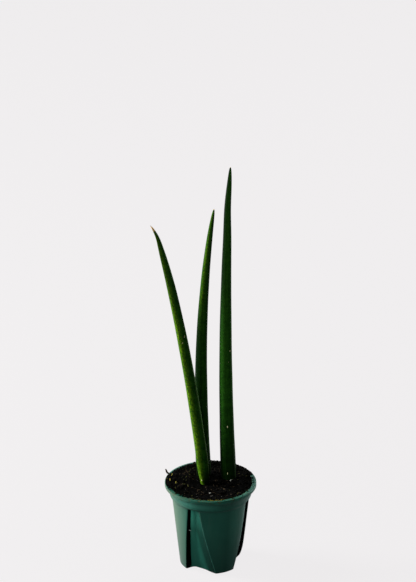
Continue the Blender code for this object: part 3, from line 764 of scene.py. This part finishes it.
LEAVES = {
    "leaf_left": Leaf(
        ((-4.0, 1.5, -1.0), (-11.7, 0.5, 75.8), (-31.5, -2.0, 190.0), (-42.3, -5.0, 203.7)),
        radius=3.95, fullness=2.7, taper=0.8, flare=0.9, narrowing=0.36, wither=0.45, sway=0.5, seed=1,
    ),
    "leaf_middle": Leaf(
        ((-4.8, 12.4, -1.0), (-7.5, 13.4, 62.0), (-8.5, 15.5, 132.0), (2.4, 18.0, 204.6)),
        radius=5.25, fullness=1.0, taper=0.42, flare=0.3, narrowing=0.1, wither=0.0, sway=0.0, seed=2,
    ),
    "leaf_right": Leaf(
        ((12.6, 9.8, -1.0), (9.5, 9.4, 79.0), (9.8, 9.6, 160.0), (13.9, 10.5, 241.4)),
        radius=5.4, fullness=1.0, taper=0.4, flare=0.5, narrowing=0.12, wither=0.0, sway=-0.55, seed=3,
    ),
}
# Shares of a leaf's length: reach of its flare and of its narrowing, then place and reach of its sway
FLARE_LENGTH = 0.06
NARROWING_LENGTH = 0.034
SWAY_SHARE = 0.87
SWAY_SPREAD = 0.07
THINNEST = 0.28 * MM
LEAF_BURIED = 9.0 * MM
BURIED_STATIONS = 6
LEAF_STATIONS = 150
LEAF_SIDES = 56
LEAF_GROOVES = 9
GROOVE_DEPTH = 0.055 * MM


def leaf_point(leaf, share):
    """Point on a leaf's axis, from its foot at the soil (0) to its tip (1)."""
    a, b, c, d = (Vector((x, y, z + POT_HEIGHT / MM)) * MM for x, y, z in leaf.axis)
    rest = 1.0 - share
    smooth = a * rest**3 + b * 3 * rest**2 * share + c * 3 * rest * share**2 + d * share**3
    sway = leaf.sway * MM * math.exp(-(((share - SWAY_SHARE) / SWAY_SPREAD) ** 2))
    return smooth + Vector((sway, 0.0, 0.0))


def leaf_radius(leaf, share):
    """Radius of a leaf along its axis."""
    full = leaf.radius * MM * max(1.0 - share**leaf.fullness, 0.0) ** leaf.taper
    full += leaf.flare * MM * math.exp(-share / FLARE_LENGTH)
    full *= 1.0 - leaf.narrowing * math.exp(-((share / NARROWING_LENGTH) ** 1.5))
    withered = 0.5 * smooth_step(0.70, 0.92, share) + 0.5 * smooth_step(0.955, 0.985, share)
    full *= 1.0 - leaf.wither * withered
    return max(full, THINNEST * min(1.0, 12.0 * (1.0 - share)))


def leaf_mesh(name):
    """A leaf as one closed skin with shallow grooves along it."""
    leaf = LEAVES[name]
    work = bmesh.new()
    foot = leaf_point(leaf, 0.0)
    slope = (leaf_point(leaf, 0.01) - foot).normalized()
    stations = []
    for i in range(BURIED_STATIONS):
        buried = slope * LEAF_BURIED * (1.0 - i / BURIED_STATIONS)
        stations.append((foot - buried, slope, leaf_radius(leaf, 0.0), 0.0))
    for i in range(LEAF_STATIONS):
        share = 1.0 - (1.0 - i / LEAF_STATIONS) ** 1.6
        ahead = leaf_point(leaf, min(share + 0.002, 1.0)) - leaf_point(leaf, max(share - 0.002, 0.0))
        stations.append((leaf_point(leaf, share), ahead.normalized(), leaf_radius(leaf, share), share))
    rings = []
    for centre, ahead, radius, share in stations:
        side = Vector((0.0, -1.0, 0.0)).cross(ahead).normalized()
        front = ahead.cross(side).normalized()
        points = []
        for i in range(LEAF_SIDES):
            angle = 2.0 * math.pi * i / LEAF_SIDES
            spot = Vector((math.cos(angle) * 1.3, math.sin(angle) * 1.3, share * 9.0 + leaf.seed * 7.0))
            waver = 0.10 * MM * noise.noise(spot)
            twist = 0.5 * share + 0.25 * noise.noise(Vector((share * 3.0, leaf.seed, 0.0)))
            groove = GROOVE_DEPTH * abs(math.sin(LEAF_GROOVES * 0.5 * (angle + twist))) ** 0.6
            depth = (waver + groove - GROOVE_DEPTH) * smooth_step(0.0, 2.0 * MM, radius)
            out = side * math.cos(angle) + front * math.sin(angle)
            points.append(centre + out * (radius + depth))
        rings.append(ring_of(work, points))
    skin(work, rings)
    tip = work.verts.new(leaf_point(leaf, 1.0))
    for i in range(LEAF_SIDES):
        work.faces.new((rings[-1][i], rings[-1][(i + 1) % LEAF_SIDES], tip))
    work.faces.new(list(reversed(rings[0])))
    bmesh.ops.recalc_face_normals(work, faces=work.faces)
    return mesh_of(name, work, 60.0)


# Look of the left, middle and right leaf
LEAF_LOOKS = {
    "dark": ((0.005, 0.038, 0.0025), (0.005, 0.036, 0.0025), (0.008, 0.056, 0.0035)),
    "light": ((0.018, 0.088, 0.005), (0.015, 0.074, 0.005), (0.019, 0.105, 0.007)),
    "tint": ((0.022, 0.092, 0.006), (0.018, 0.080, 0.005), (0.024, 0.120, 0.008)),
    # Colour of the painted light on the side facing left, how far it reaches round, and millimetres
    # above the rim where it sets in and is complete
    "painted_light": ((0.145, 0.290, 0.005), (0.072, 0.165, 0.003), (0.028, 0.112, 0.008)),
    "painted_light_side": ((-0.35, 0.62), (-0.45, 0.45), (-0.55, 0.05)),
    "painted_light_from": ((-20.0, -10.0), (98.0, 146.0), (30.0, 110.0)),
    # The left edge's colour, painted light on the left leaf and painted shade on the others, and how
    # much each edge stands out
    "edge": ((0.020, 0.100, 0.005), (0.008, 0.045, 0.004), (0.005, 0.036, 0.002)),
    "left_edge": (0.4, 0.7, 0.92),
    "right_painted_rim_light": (0.65, 0.0, 0.45),
    # Where painted shade darkens its left side and how much, and the painted shade at its foot: how
    # much, how high, from which side
    "left_painted_shade": ((120.0, 178.0, 0.7), (146.0, 112.0, 0.88), (100.0, 155.0, 0.9)),
    "foot_shade": ((0.95, 13.0, -0.45), (0.95, 26.0, -3.0), (0.80, 60.0, -3.0)),
    # Millimetres of dry tip
    "dry_tip": (5.4, 0.3, 0.3),
    "gloss": (0.045, 0.02, 0.04),
}


def make_leaves():
    """The three leaves."""
    for i, name in enumerate(LEAVES):
        look = {part: values[i] for part, values in LEAF_LOOKS.items()}
        material = leaf_skin(f"skin_{name}", look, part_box(name)[1][2])
        add_piece(f"{name}_skin", leaf_mesh(name), material, "leaf", name)


# ---- Soil ----

SOIL_SEED = 11
SOIL_RINGS = 60
SOIL_STAND_BACK = 0.35 * MM
HEAP_AZIMUTH = -128.0
HEAP_HEIGHT = 1.1 * MM
# How much the soil is heaped round each leaf's foot, or sunk where it is less than nothing
MOUNDS = (-0.75 * MM, 0.35 * MM, 0.35 * MM)
# The lumps that add up to the surface: height, size, and where in the noise each kind starts
SOIL_WAVES = ((0.55, 3.1, (5.0, 0.0, 0.0)), (0.38, 1.3, (0.0, 9.0, 0.0)), (0.22, 0.6, (0.0, 0.0, 3.0)))
LARGE_LUMPS = 170
SMALL_CRUMBS = 1100
SPILT_CRUMBS = 3300
PEAT_FIBRES = 70
LUMP_FLATNESS = 0.75
FIBRE_RISE = 0.3
# Larger lumps on the lip at the back: azimuth, millimetres of radius
BACK_LUMPS = (
    (171.0, 1.0), (176.0, 0.7), (163.0, 0.8), (-178.0, 0.8), (-150.0, 0.6), (-158.0, 0.8), (146.0, 0.7),
)


def leaf_feet():
    """Centre and radius of each leaf where it leaves the soil."""
    return [(leaf_point(leaf, 0.0), leaf_radius(leaf, 0.0)) for leaf in LEAVES.values()]


def soil_height(x, y):
    """Height of the soil's surface: lumps of several sizes, heaped a little round the leaves."""
    edge = min(math.hypot(x, y) / inner_radius(POT_HEIGHT), 1.0)
    place = Vector((x, y, 0.0)) / MM
    height = POT_HEIGHT - SOIL_DROP
    height += 0.7 * MM * noise.noise(place / 9.0) * (1.0 - edge**4)
    for rise, size, start in SOIL_WAVES:
        height += rise * MM * noise.noise(place / size + Vector(start))
    for (centre, radius), mound in zip(leaf_feet(), MOUNDS):
        away = math.hypot(x - centre.x, y - centre.y)
        height += mound * math.exp(-max(away - radius, 0.0) / (2.5 * MM))
    height += 0.9 * MM * smooth_step(0.80, 1.0, edge) * smooth_step(-6.0 * MM, 10.0 * MM, y)
    heaped = direction(HEAP_AZIMUTH).dot(Vector((x, y, 0.0)))
    return height + HEAP_HEIGHT * smooth_step(8.0 * MM, 27.0 * MM, heaped)


def soil_bed_mesh():
    """The soil as one closed mesh that fills the pot up to its lumpy surface."""
    inset = WALL + SOIL_STAND_BACK
    foot = FLOOR + GAP
    ledge_top = LEDGE_TOP + WALL
    outlines = [[(0.97 * p.x, 0.97 * p.y, foot) for p in recessed_outline(FLOOR, inset)]]
    for height in spread(foot, ledge_top, 62):
        outline = []
        for p in recessed_outline(min(height, SLIT_TOP), inset):
            pull = 0.5 * MM * (0.5 + 0.5 * noise.noise(Vector((p.x, p.y, height)) / (1.4 * MM)))
            p = p - p.normalized() * pull
            outline.append((p.x, p.y, height))
        outlines.append(outline)
    for height in spread(ledge_top + WALL, POT_HEIGHT - SOIL_DROP - 0.6 * MM, 8):
        outlines.append(raised(round_outline(inner_radius(height) - SOIL_STAND_BACK), height))
    rim = inner_radius(POT_HEIGHT) - SOIL_STAND_BACK
    for i in range(SOIL_RINGS - 1):
        outline = round_outline(rim * (1.0 - i / SOIL_RINGS))
        outlines.append([(p.x, p.y, soil_height(p.x, p.y)) for p in outline])
    work = bmesh.new()
    rings = [ring_of(work, outline) for outline in outlines]
    skin(work, rings)
    fan(work, rings[0], foot)
    fan(work, rings[-1], soil_height(0.0, 0.0))
    bmesh.ops.recalc_face_normals(work, faces=work.faces)
    return mesh_of("soil_bed", work, 80.0)


def lump_shape(subdivisions):
    """Vertices of a unit ball and its triangles."""
    work = bmesh.new()
    bmesh.ops.create_icosphere(work, subdivisions=subdivisions, radius=1.0)
    work.verts.ensure_lookup_table()
    places = np.array([v.co[:] for v in work.verts])
    faces = np.array([[v.index for v in f.verts] for f in work.faces])
    work.free()
    return places, faces


def add_lumps(name, spots, subdivisions, draw, *finish):
    """A piece of many rough lumps. spots holds (centre, radius) of each."""
    ball, faces = lump_shape(subdivisions)
    all_places, all_faces = [], []
    for number, (centre, radius) in enumerate(spots):
        waves = np.array([[draw.uniform(-2.6, 2.6) for _ in range(3)] for _ in range(4)])
        shifts = np.array([draw.uniform(0.0, 6.28) for _ in range(4)])
        swell = 1.0 + 0.16 * np.sin(ball @ waves.T + shifts).sum(axis=1)
        shape = ball * swell[:, None]
        shape *= np.array([draw.uniform(0.7, 1.3), draw.uniform(0.7, 1.1), LUMP_FLATNESS])
        spin = Matrix.Rotation(draw.uniform(0.0, 6.28), 3, "Z")
        tilt = Matrix.Rotation(draw.uniform(-0.6, 0.6), 3, "X")
        all_places.append(shape @ np.array(spin @ tilt).T * radius + np.array(centre))
        all_faces.append(faces + number * len(ball))
    mesh = bpy.data.meshes.new(name)
    mesh.from_pydata(np.concatenate(all_places).tolist(), [], np.concatenate(all_faces).tolist())
    smooth(mesh, 50.0)
    add_piece(name, mesh, *finish)


def free_of_leaves(x, y, margin):
    """True if a spot on the soil isn't under a leaf."""
    return all(math.hypot(x - c.x, y - c.y) > r + margin for c, r in leaf_feet())


def scattered(count, low, high, draw, reach, sink=0.35):
    """Spots for lumps on the soil, small ones more often than large ones."""
    spots = []
    while len(spots) < count:
        radius = low * (high / low) ** (draw.random() ** 2.2)
        away = reach * math.sqrt(draw.random())
        spot = direction(draw.uniform(0.0, 360.0)) * (away - radius)
        margin = 1.6 * radius if radius > 0.5 * MM else 0.4 * radius
        if free_of_leaves(spot.x, spot.y, margin):
            height = soil_height(spot.x, spot.y) + radius * (1.0 - sink) * 0.5
            spots.append(((spot.x, spot.y, height), radius))
    return spots


def add_slivers(name, runs, sides, *finish):
    """A piece of thin sticks or fibres. Each run is (points, radius)."""
    work = bmesh.new()
    angles = [2.0 * math.pi * k / sides for k in range(sides)]
    for points, radius in runs:
        rings = []
        last = len(points) - 1
        for i, point in enumerate(points):
            ahead = points[min(i + 1, last)] - points[max(i - 1, 0)]
            side = ahead.orthogonal().normalized()
            front = ahead.cross(side).normalized()
            thick = radius * (1.0 - 0.55 * abs(2.0 * i / last - 1.0) ** 2)
            outs = [side * math.cos(a) + front * math.sin(a) for a in angles]
            rings.append(ring_of(work, [point + out * thick for out in outs]))
        skin(work, rings)
        work.faces.new(list(reversed(rings[0])))
        work.faces.new(rings[-1])
    bmesh.ops.recalc_face_normals(work, faces=work.faces)
    add_piece(name, mesh_of(name, work, 60.0), *finish)


def fibre_run(x, y, length, radius, draw):
    """A short curved fibre that lies on the soil, with one end a little raised."""
    heading = draw.uniform(0.0, 360.0)
    bend = draw.uniform(-50.0, 50.0)
    rise = draw.uniform(0.0, FIBRE_RISE) * length
    points = []
    place = Vector((x, y, 0.0))
    for i in range(9):
        share = i / 8.0
        height = soil_height(place.x, place.y) + radius + rise * share**2
        points.append(Vector((place.x, place.y, height)))
        place += direction(heading + bend * share) * (length / 8.0)
    return points, radius


def spilt_soil(draw):
    """Spots for crumbs on the lip: thick along the left, thinner round the back, few in front."""
    spots = []
    while len(spots) < SPILT_CRUMBS:
        azimuth = draw.uniform(-180.0, 180.0)
        left = smooth_step(-64.0, -86.0, azimuth) * smooth_step(-180.0, -150.0, azimuth)
        back = smooth_step(104.0, 124.0, abs(azimuth))
        inner = draw.random() < 0.18 * smooth_step(-30.0, -50.0, azimuth)
        bare = smooth_step(-108.0, -118.0, azimuth) * smooth_step(-172.0, -160.0, azimuth)
        if not inner and draw.random() > max(left, 0.85 * back, 0.015) * (1.0 - 0.75 * bare):
            continue
        radius = 0.24 * MM + 0.55 * MM * draw.random() ** 2.2
        inward = 1.0 * MM if back > 0.5 else 0.5 * MM
        reach = 0.8 * MM if inner else LIP_WIDTH - 1.7 * radius - 1.1 * MM * bare
        share = draw.random() ** (0.75 if left > 0.5 else 1.2)
        spot = direction(azimuth) * (MOUTH - inward + (inward + reach) * share)
        spots.append(((spot.x, spot.y, POT_HEIGHT + radius * draw.uniform(0.0, 0.6)), radius))
    for azimuth, radius in BACK_LUMPS:
        spot = direction(azimuth) * (MOUTH + 0.9 * MM)
        spots.append(((spot.x, spot.y, POT_HEIGHT + 0.6 * radius * MM), radius * MM))
    return spots


def make_soil():
    """The soil bed with loose crumbs and fibres on it, and soil spilt on the lip."""
    draw = random.Random(SOIL_SEED)
    earth = soil_earth("soil", (0.0002, 0.0002, 0.00015), (0.0016, 0.0015, 0.0009))
    crumb = soil_earth("soil_crumbs", (0.0003, 0.0003, 0.0002), (0.0040, 0.0036, 0.0021))
    brown = dry_matter("peat_fibre", (0.020, 0.012, 0.006), (0.075, 0.048, 0.020))
    reach = inner_radius(POT_HEIGHT) - 0.4 * MM
    add_piece("soil_bed", soil_bed_mesh(), earth, "soil", "soil")
    large = scattered(LARGE_LUMPS, 0.5 * MM, 1.35 * MM, draw, reach)
    add_lumps("soil_lumps", large, 2, draw, crumb, "soil")
    small = scattered(SMALL_CRUMBS, 0.2 * MM, 0.6 * MM, draw, reach)
    add_lumps("soil_crumbs", small, 1, draw, crumb, "soil")
    add_lumps("soil_on_lip", spilt_soil(draw), 1, draw, crumb, "soil")
    runs = []
    while len(runs) < PEAT_FIBRES:
        spot = direction(draw.uniform(0.0, 360.0)) * (reach * 0.9 * math.sqrt(draw.random()))
        if free_of_leaves(spot.x, spot.y, 2.0 * MM):
            length, radius = draw.uniform(1.5, 4.5) * MM, draw.uniform(0.06, 0.14) * MM
            runs.append(fibre_run(spot.x, spot.y, length, radius, draw))
    add_slivers("peat_fibres", runs, 6, brown, "soil")


# ---- Litter ----

# Specks stuck to the leaves: leaf, millimetres above the rim, share of the half width from its middle,
# millimetres of radius, and how many times as tall as wide
LEAF_SPECKS = (
    ("leaf_left", 115.6, 0.56, 0.30, 2.8),
    ("leaf_left", 110.9, -0.02, 0.32, 1.0),
    ("leaf_right", 99.1, 0.70, 0.42, 1.2),
    ("leaf_right", 91.0, 0.42, 0.22, 1.0),
    ("leaf_right", 40.5, 0.10, 0.48, 1.7),
    ("leaf_right", 3.9, -0.10, 0.32, 2.6),
    ("leaf_left", 1.6, -0.55, 0.38, 1.0),
)
LITTER_SEED = 5
SLIT_FLECK_HEIGHT = 32.6 * MM
# Short fibres by the mouth: how many, between which azimuths, and millimetres in from the mouth's edge
FRONT_STRAW = ((16, (-3.0, 22.0), (-0.9, 0.3)),)
LEFT_STRAW = ((10, (-101.0, -90.0), (-2.0, 1.0)), (5, (-108.0, -84.0), (0.5, 5.0)))
MOSS = (
    (22, (-62.0, 62.0), (-0.5, 0.5)),
    (22, (-175.0, 150.0), (1.0, 14.0)),
    (15, (-150.0, -70.0), (1.0, 16.0)),
)


def rim_fibres(tufts, draw):
    """Short fibres that lie along the mouth's edge, on the lip or on the soil."""
    runs = []
    mouth = inner_radius(POT_HEIGHT)
    for azimuths, insets in [tuft[1:] for tuft in tufts for _ in range(tuft[0])]:
        azimuth = draw.uniform(*azimuths)
        away = mouth - draw.uniform(insets[0] * MM, insets[1] * MM)
        half = math.degrees(draw.uniform(0.5, 1.5) * MM / away)
        lift = draw.uniform(0.0, 0.5) * MM
        points = []
        for i in range(7):
            spot = direction(azimuth + half * (i / 3.0 - 1.0)) * (away + draw.uniform(-0.12, 0.12) * MM)
            on_lip = spot.length > mouth - 0.2 * MM
            spot.z = (POT_HEIGHT if on_lip else soil_height(spot.x, spot.y) + 0.3 * MM) + lift
            points.append(spot)
        runs.append((points, draw.uniform(0.10, 0.20) * MM))
    return runs


def on_leaf(name, rise, aside):
    """Point on the front of a leaf's skin, at a height above the rim and part of the way to one side."""
    leaf = LEAVES[name]
    height = POT_HEIGHT + rise * MM
    share = min((i / 2000.0 for i in range(2000)), key=lambda t: abs(leaf_point(leaf, t).z - height))
    out = Vector((aside, -math.sqrt(1.0 - aside * aside), 0.0))
    return leaf_point(leaf, share) + out * leaf_radius(leaf, share)


def speck_run(name, rise, aside, radius, tall):
    """An upright speck on a leaf."""
    middle = on_leaf(name, rise, aside)
    half = Vector((0.1, 0.0, 1.0)) * (radius * tall * MM)
    return [middle + half * share for share in (-1.0, -0.5, 0.0, 0.5, 1.0)], radius * MM


def fleck_run():
    """The pale fleck that crosses the left-hand slit, just off its panel."""
    start, along, _ = recess(FIRST_STEP_AZIMUTH, SLIT_FLECK_HEIGHT, 0.0)
    outward = Vector((along.y, -along.x, 0.0)) * (1.3 * MM)
    points = []
    for i in range(6):
        rise = Vector((0.0, 0.0, SLIT_FLECK_HEIGHT + 0.1 * MM * math.sin(2.0 * i)))
        points.append(start + along * ((0.5 * i - 0.7) * MM) + outward + rise)
    return points, 0.30 * MM


def bark_run():
    """The bark sliver's curved path through its CAD node's box."""
    low, high = (Vector(corner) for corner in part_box("bark_crumb"))
    size = high - low
    points = []
    for i in range(12):
        share = i / 11.0
        x = high.x - size.x * share**0.8
        spot = Vector((x, low.y + size.y * share, low.z + size.z * (0.2 + 0.75 * share**1.8)))
        points.append(spot + Vector((0.0, 0.12, 0.25)) * (MM * math.sin(9.0 * share)))
    return points, 0.7 * MM


def make_litter():
    """Perlite grains, yellow fibres, mossy bits and the bark crumb on the rim."""
    draw = random.Random(LITTER_SEED)
    perlite = dry_matter("perlite_stone", (0.22, 0.22, 0.19), (0.52, 0.51, 0.46))
    straw = dry_matter("straw_dry", (0.20, 0.17, 0.022), (0.50, 0.42, 0.07))
    pale = dry_matter("pale_grit", (0.40, 0.46, 0.45), (0.66, 0.72, 0.70))
    lichen = dry_matter("leaf_speck_dry", (0.42, 0.40, 0.16), (0.85, 0.80, 0.50))
    moss = dry_matter("moss_dry", (0.024, 0.030, 0.005), (0.115, 0.112, 0.020))
    bark = dry_matter("bark_dry", (0.012, 0.008, 0.006), (0.050, 0.032, 0.022))
    for side in ("front", "right"):
        low, high = (Vector(corner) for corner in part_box(f"perlite_{side}"))
        grain = ((low + high) / 2.0, (high.x - low.x) * 0.42)
        add_lumps(f"perlite_grain_{side}", [grain], 3, draw, perlite, "perlite", f"perlite_{side}")
    grains = scattered(16, 0.16 * MM, 0.36 * MM, draw, 26.0 * MM, 0.0)
    add_lumps("perlite_dust", grains, 2, draw, perlite, "perlite")
    add_slivers("leaf_specks", [speck_run(*speck) for speck in LEAF_SPECKS], 8, lichen, "straw")
    add_slivers("slit_fleck", [fleck_run()], 8, pale, "perlite")
    add_slivers("straw_fibre_front", rim_fibres(FRONT_STRAW, draw), 6, straw, "straw", "fibre_front")
    add_slivers("straw_fibre_left", rim_fibres(LEFT_STRAW, draw), 6, straw, "straw", "fibre_left")
    add_slivers("moss_bits", rim_fibres(MOSS, draw), 6, moss, "straw")
    add_slivers("bark_sliver", [bark_run()], 9, bark, "bark", "bark_crumb")


def finish_rhizome():
    """The rhizome keeps its CAD shape, with a fleshy brown skin."""
    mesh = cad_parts["rhizome"].data
    mesh.materials.clear()
    mesh.materials.append(dry_matter("rhizome_skin", (0.20, 0.10, 0.035), (0.46, 0.29, 0.12)))
    mesh.shade_smooth()


# ---- Stage, lights and camera ----

VIEW_ELEVATION = 27.3
VIEW_HEIGHT = 0.4062
VIEW_RISE = 0.1880
VIEW_SHIFT = -0.0018
CAMERA_DISTANCE = 3.0
BACKGROUND = (0.855, 0.837, 0.845)
FLOOR_GLOW = 0.97
FILL_COLOUR = (0.95, 0.98, 1.0)
FILL = 0.085
# Each lamp's azimuth, elevation, width and height in metres, and watts
LAMPS = {
    "key_left": (-106.0, 22.0, 0.4, 0.9, 33.0),
    "rim_right": (140.0, 18.0, 0.25, 0.8, 7.0),
    "front_soft": (-25.0, 35.0, 0.7, 0.7, 2.6),
}
LAMP_DISTANCE = 1.1
LAMP_TARGET = (0.0, 0.0, 0.14)
# What glossy surfaces mirror: how far the glow behind turns left, and its start, end and strengths
BACKDROP_LEFTWARDS = -0.25
BACKDROP_GLOW = (-0.15, 0.8, 0.03, 1.0)


def make_camera():
    """A long-lens view from the front, a little above."""
    elevation = math.radians(VIEW_ELEVATION)
    back = Vector((0.0, -math.cos(elevation), math.sin(elevation)))
    up = Vector((0.0, math.sin(elevation), math.cos(elevation)))
    data = bpy.data.cameras.new("camera")
    data.type = "ORTHO"
    data.ortho_scale = VIEW_HEIGHT
    data.clip_end = 20.0
    camera = new_object("camera", data)
    camera.location = up * VIEW_RISE + back * CAMERA_DISTANCE + Vector((VIEW_SHIFT, 0.0, 0.0))
    camera.rotation_euler = (-back).to_track_quat("-Z", "Y").to_euler()
    bpy.context.scene.camera = camera


def make_light(name, azimuth, elevation, width, height, power):
    """A soft rectangular lamp that looks at the plant."""
    data = bpy.data.lights.new(name, "AREA")
    data.shape = "RECTANGLE"
    data.size = width
    data.size_y = height
    data.energy = power
    lamp = new_object(name, data)
    rise = math.radians(elevation)
    away = direction(azimuth) * math.cos(rise) + Vector((0.0, 0.0, math.sin(rise)))
    lamp.location = Vector(LAMP_TARGET) + away * LAMP_DISTANCE
    lamp.rotation_euler = (-away).to_track_quat("-Z", "Y").to_euler()


def make_floor():
    """A plain pale floor, which glows evenly and takes only a faint shadow."""
    work = bmesh.new()
    bmesh.ops.create_grid(work, x_segments=1, y_segments=1, size=6.0)
    floor = new_object("floor", mesh_of("floor", work))
    s = Surface("floor_paper", roughness=0.9, specular=0.0)
    s.shader.inputs["Base Color"].default_value = (0.03, 0.03, 0.03, 1.0)
    s.shader.inputs["Emission Color"].default_value = (*BACKGROUND, 1.0)
    s.shader.inputs["Emission Strength"].default_value = FLOOR_GLOW
    floor.data.materials.append(s.material)
    floor.visible_diffuse = False
    floor.visible_glossy = False


def make_surround():
    """A pale surround for the eye, a dim fill, and a pale backdrop that glossy surfaces mirror."""
    world = bpy.data.worlds.new("surround")
    bpy.context.scene.world = world
    world.use_nodes = True
    s = Nodes(world.node_tree)

    def background(colour, strength):
        return s.node("Background", {"Color": (*colour, 1.0), "Strength": strength}).outputs[0]

    axes = s.node("SeparateXYZ", {0: s.node("TexCoord").outputs["Generated"]}).outputs
    turned = {0: axes["X"], 1: BACKDROP_LEFTWARDS, 2: axes["Y"]}
    aside = s.node("Math", turned, operation="MULTIPLY_ADD").outputs[0]
    path = s.node("LightPath").outputs
    mirrored = background(FILL_COLOUR, s.between(aside, *BACKDROP_GLOW))
    seen = background(BACKGROUND, 1.0)
    last = background(FILL_COLOUR, FILL)
    for ray, shader in (("Is Glossy Ray", mirrored), ("Is Camera Ray", seen)):
        last = s.node("MixShader", {"Fac": path[ray], 1: last, 2: shader}).outputs[0]
    s.feed(s.tree.nodes["World Output"].inputs["Surface"], last)


def make_stage():
    """The floor, the surround and soft lamps: a strong one on the left and a weak one behind."""
    make_floor()
    make_surround()
    for name, lamp in LAMPS.items():
        make_light(name, *lamp)
    bpy.context.scene.view_settings.view_transform = "Standard"


# ---- The plant ----

make_camera()
make_stage()
make_pot()
make_leaves()
make_soil()
make_litter()
finish_rhizome()

bpy.context.view_layer.update()
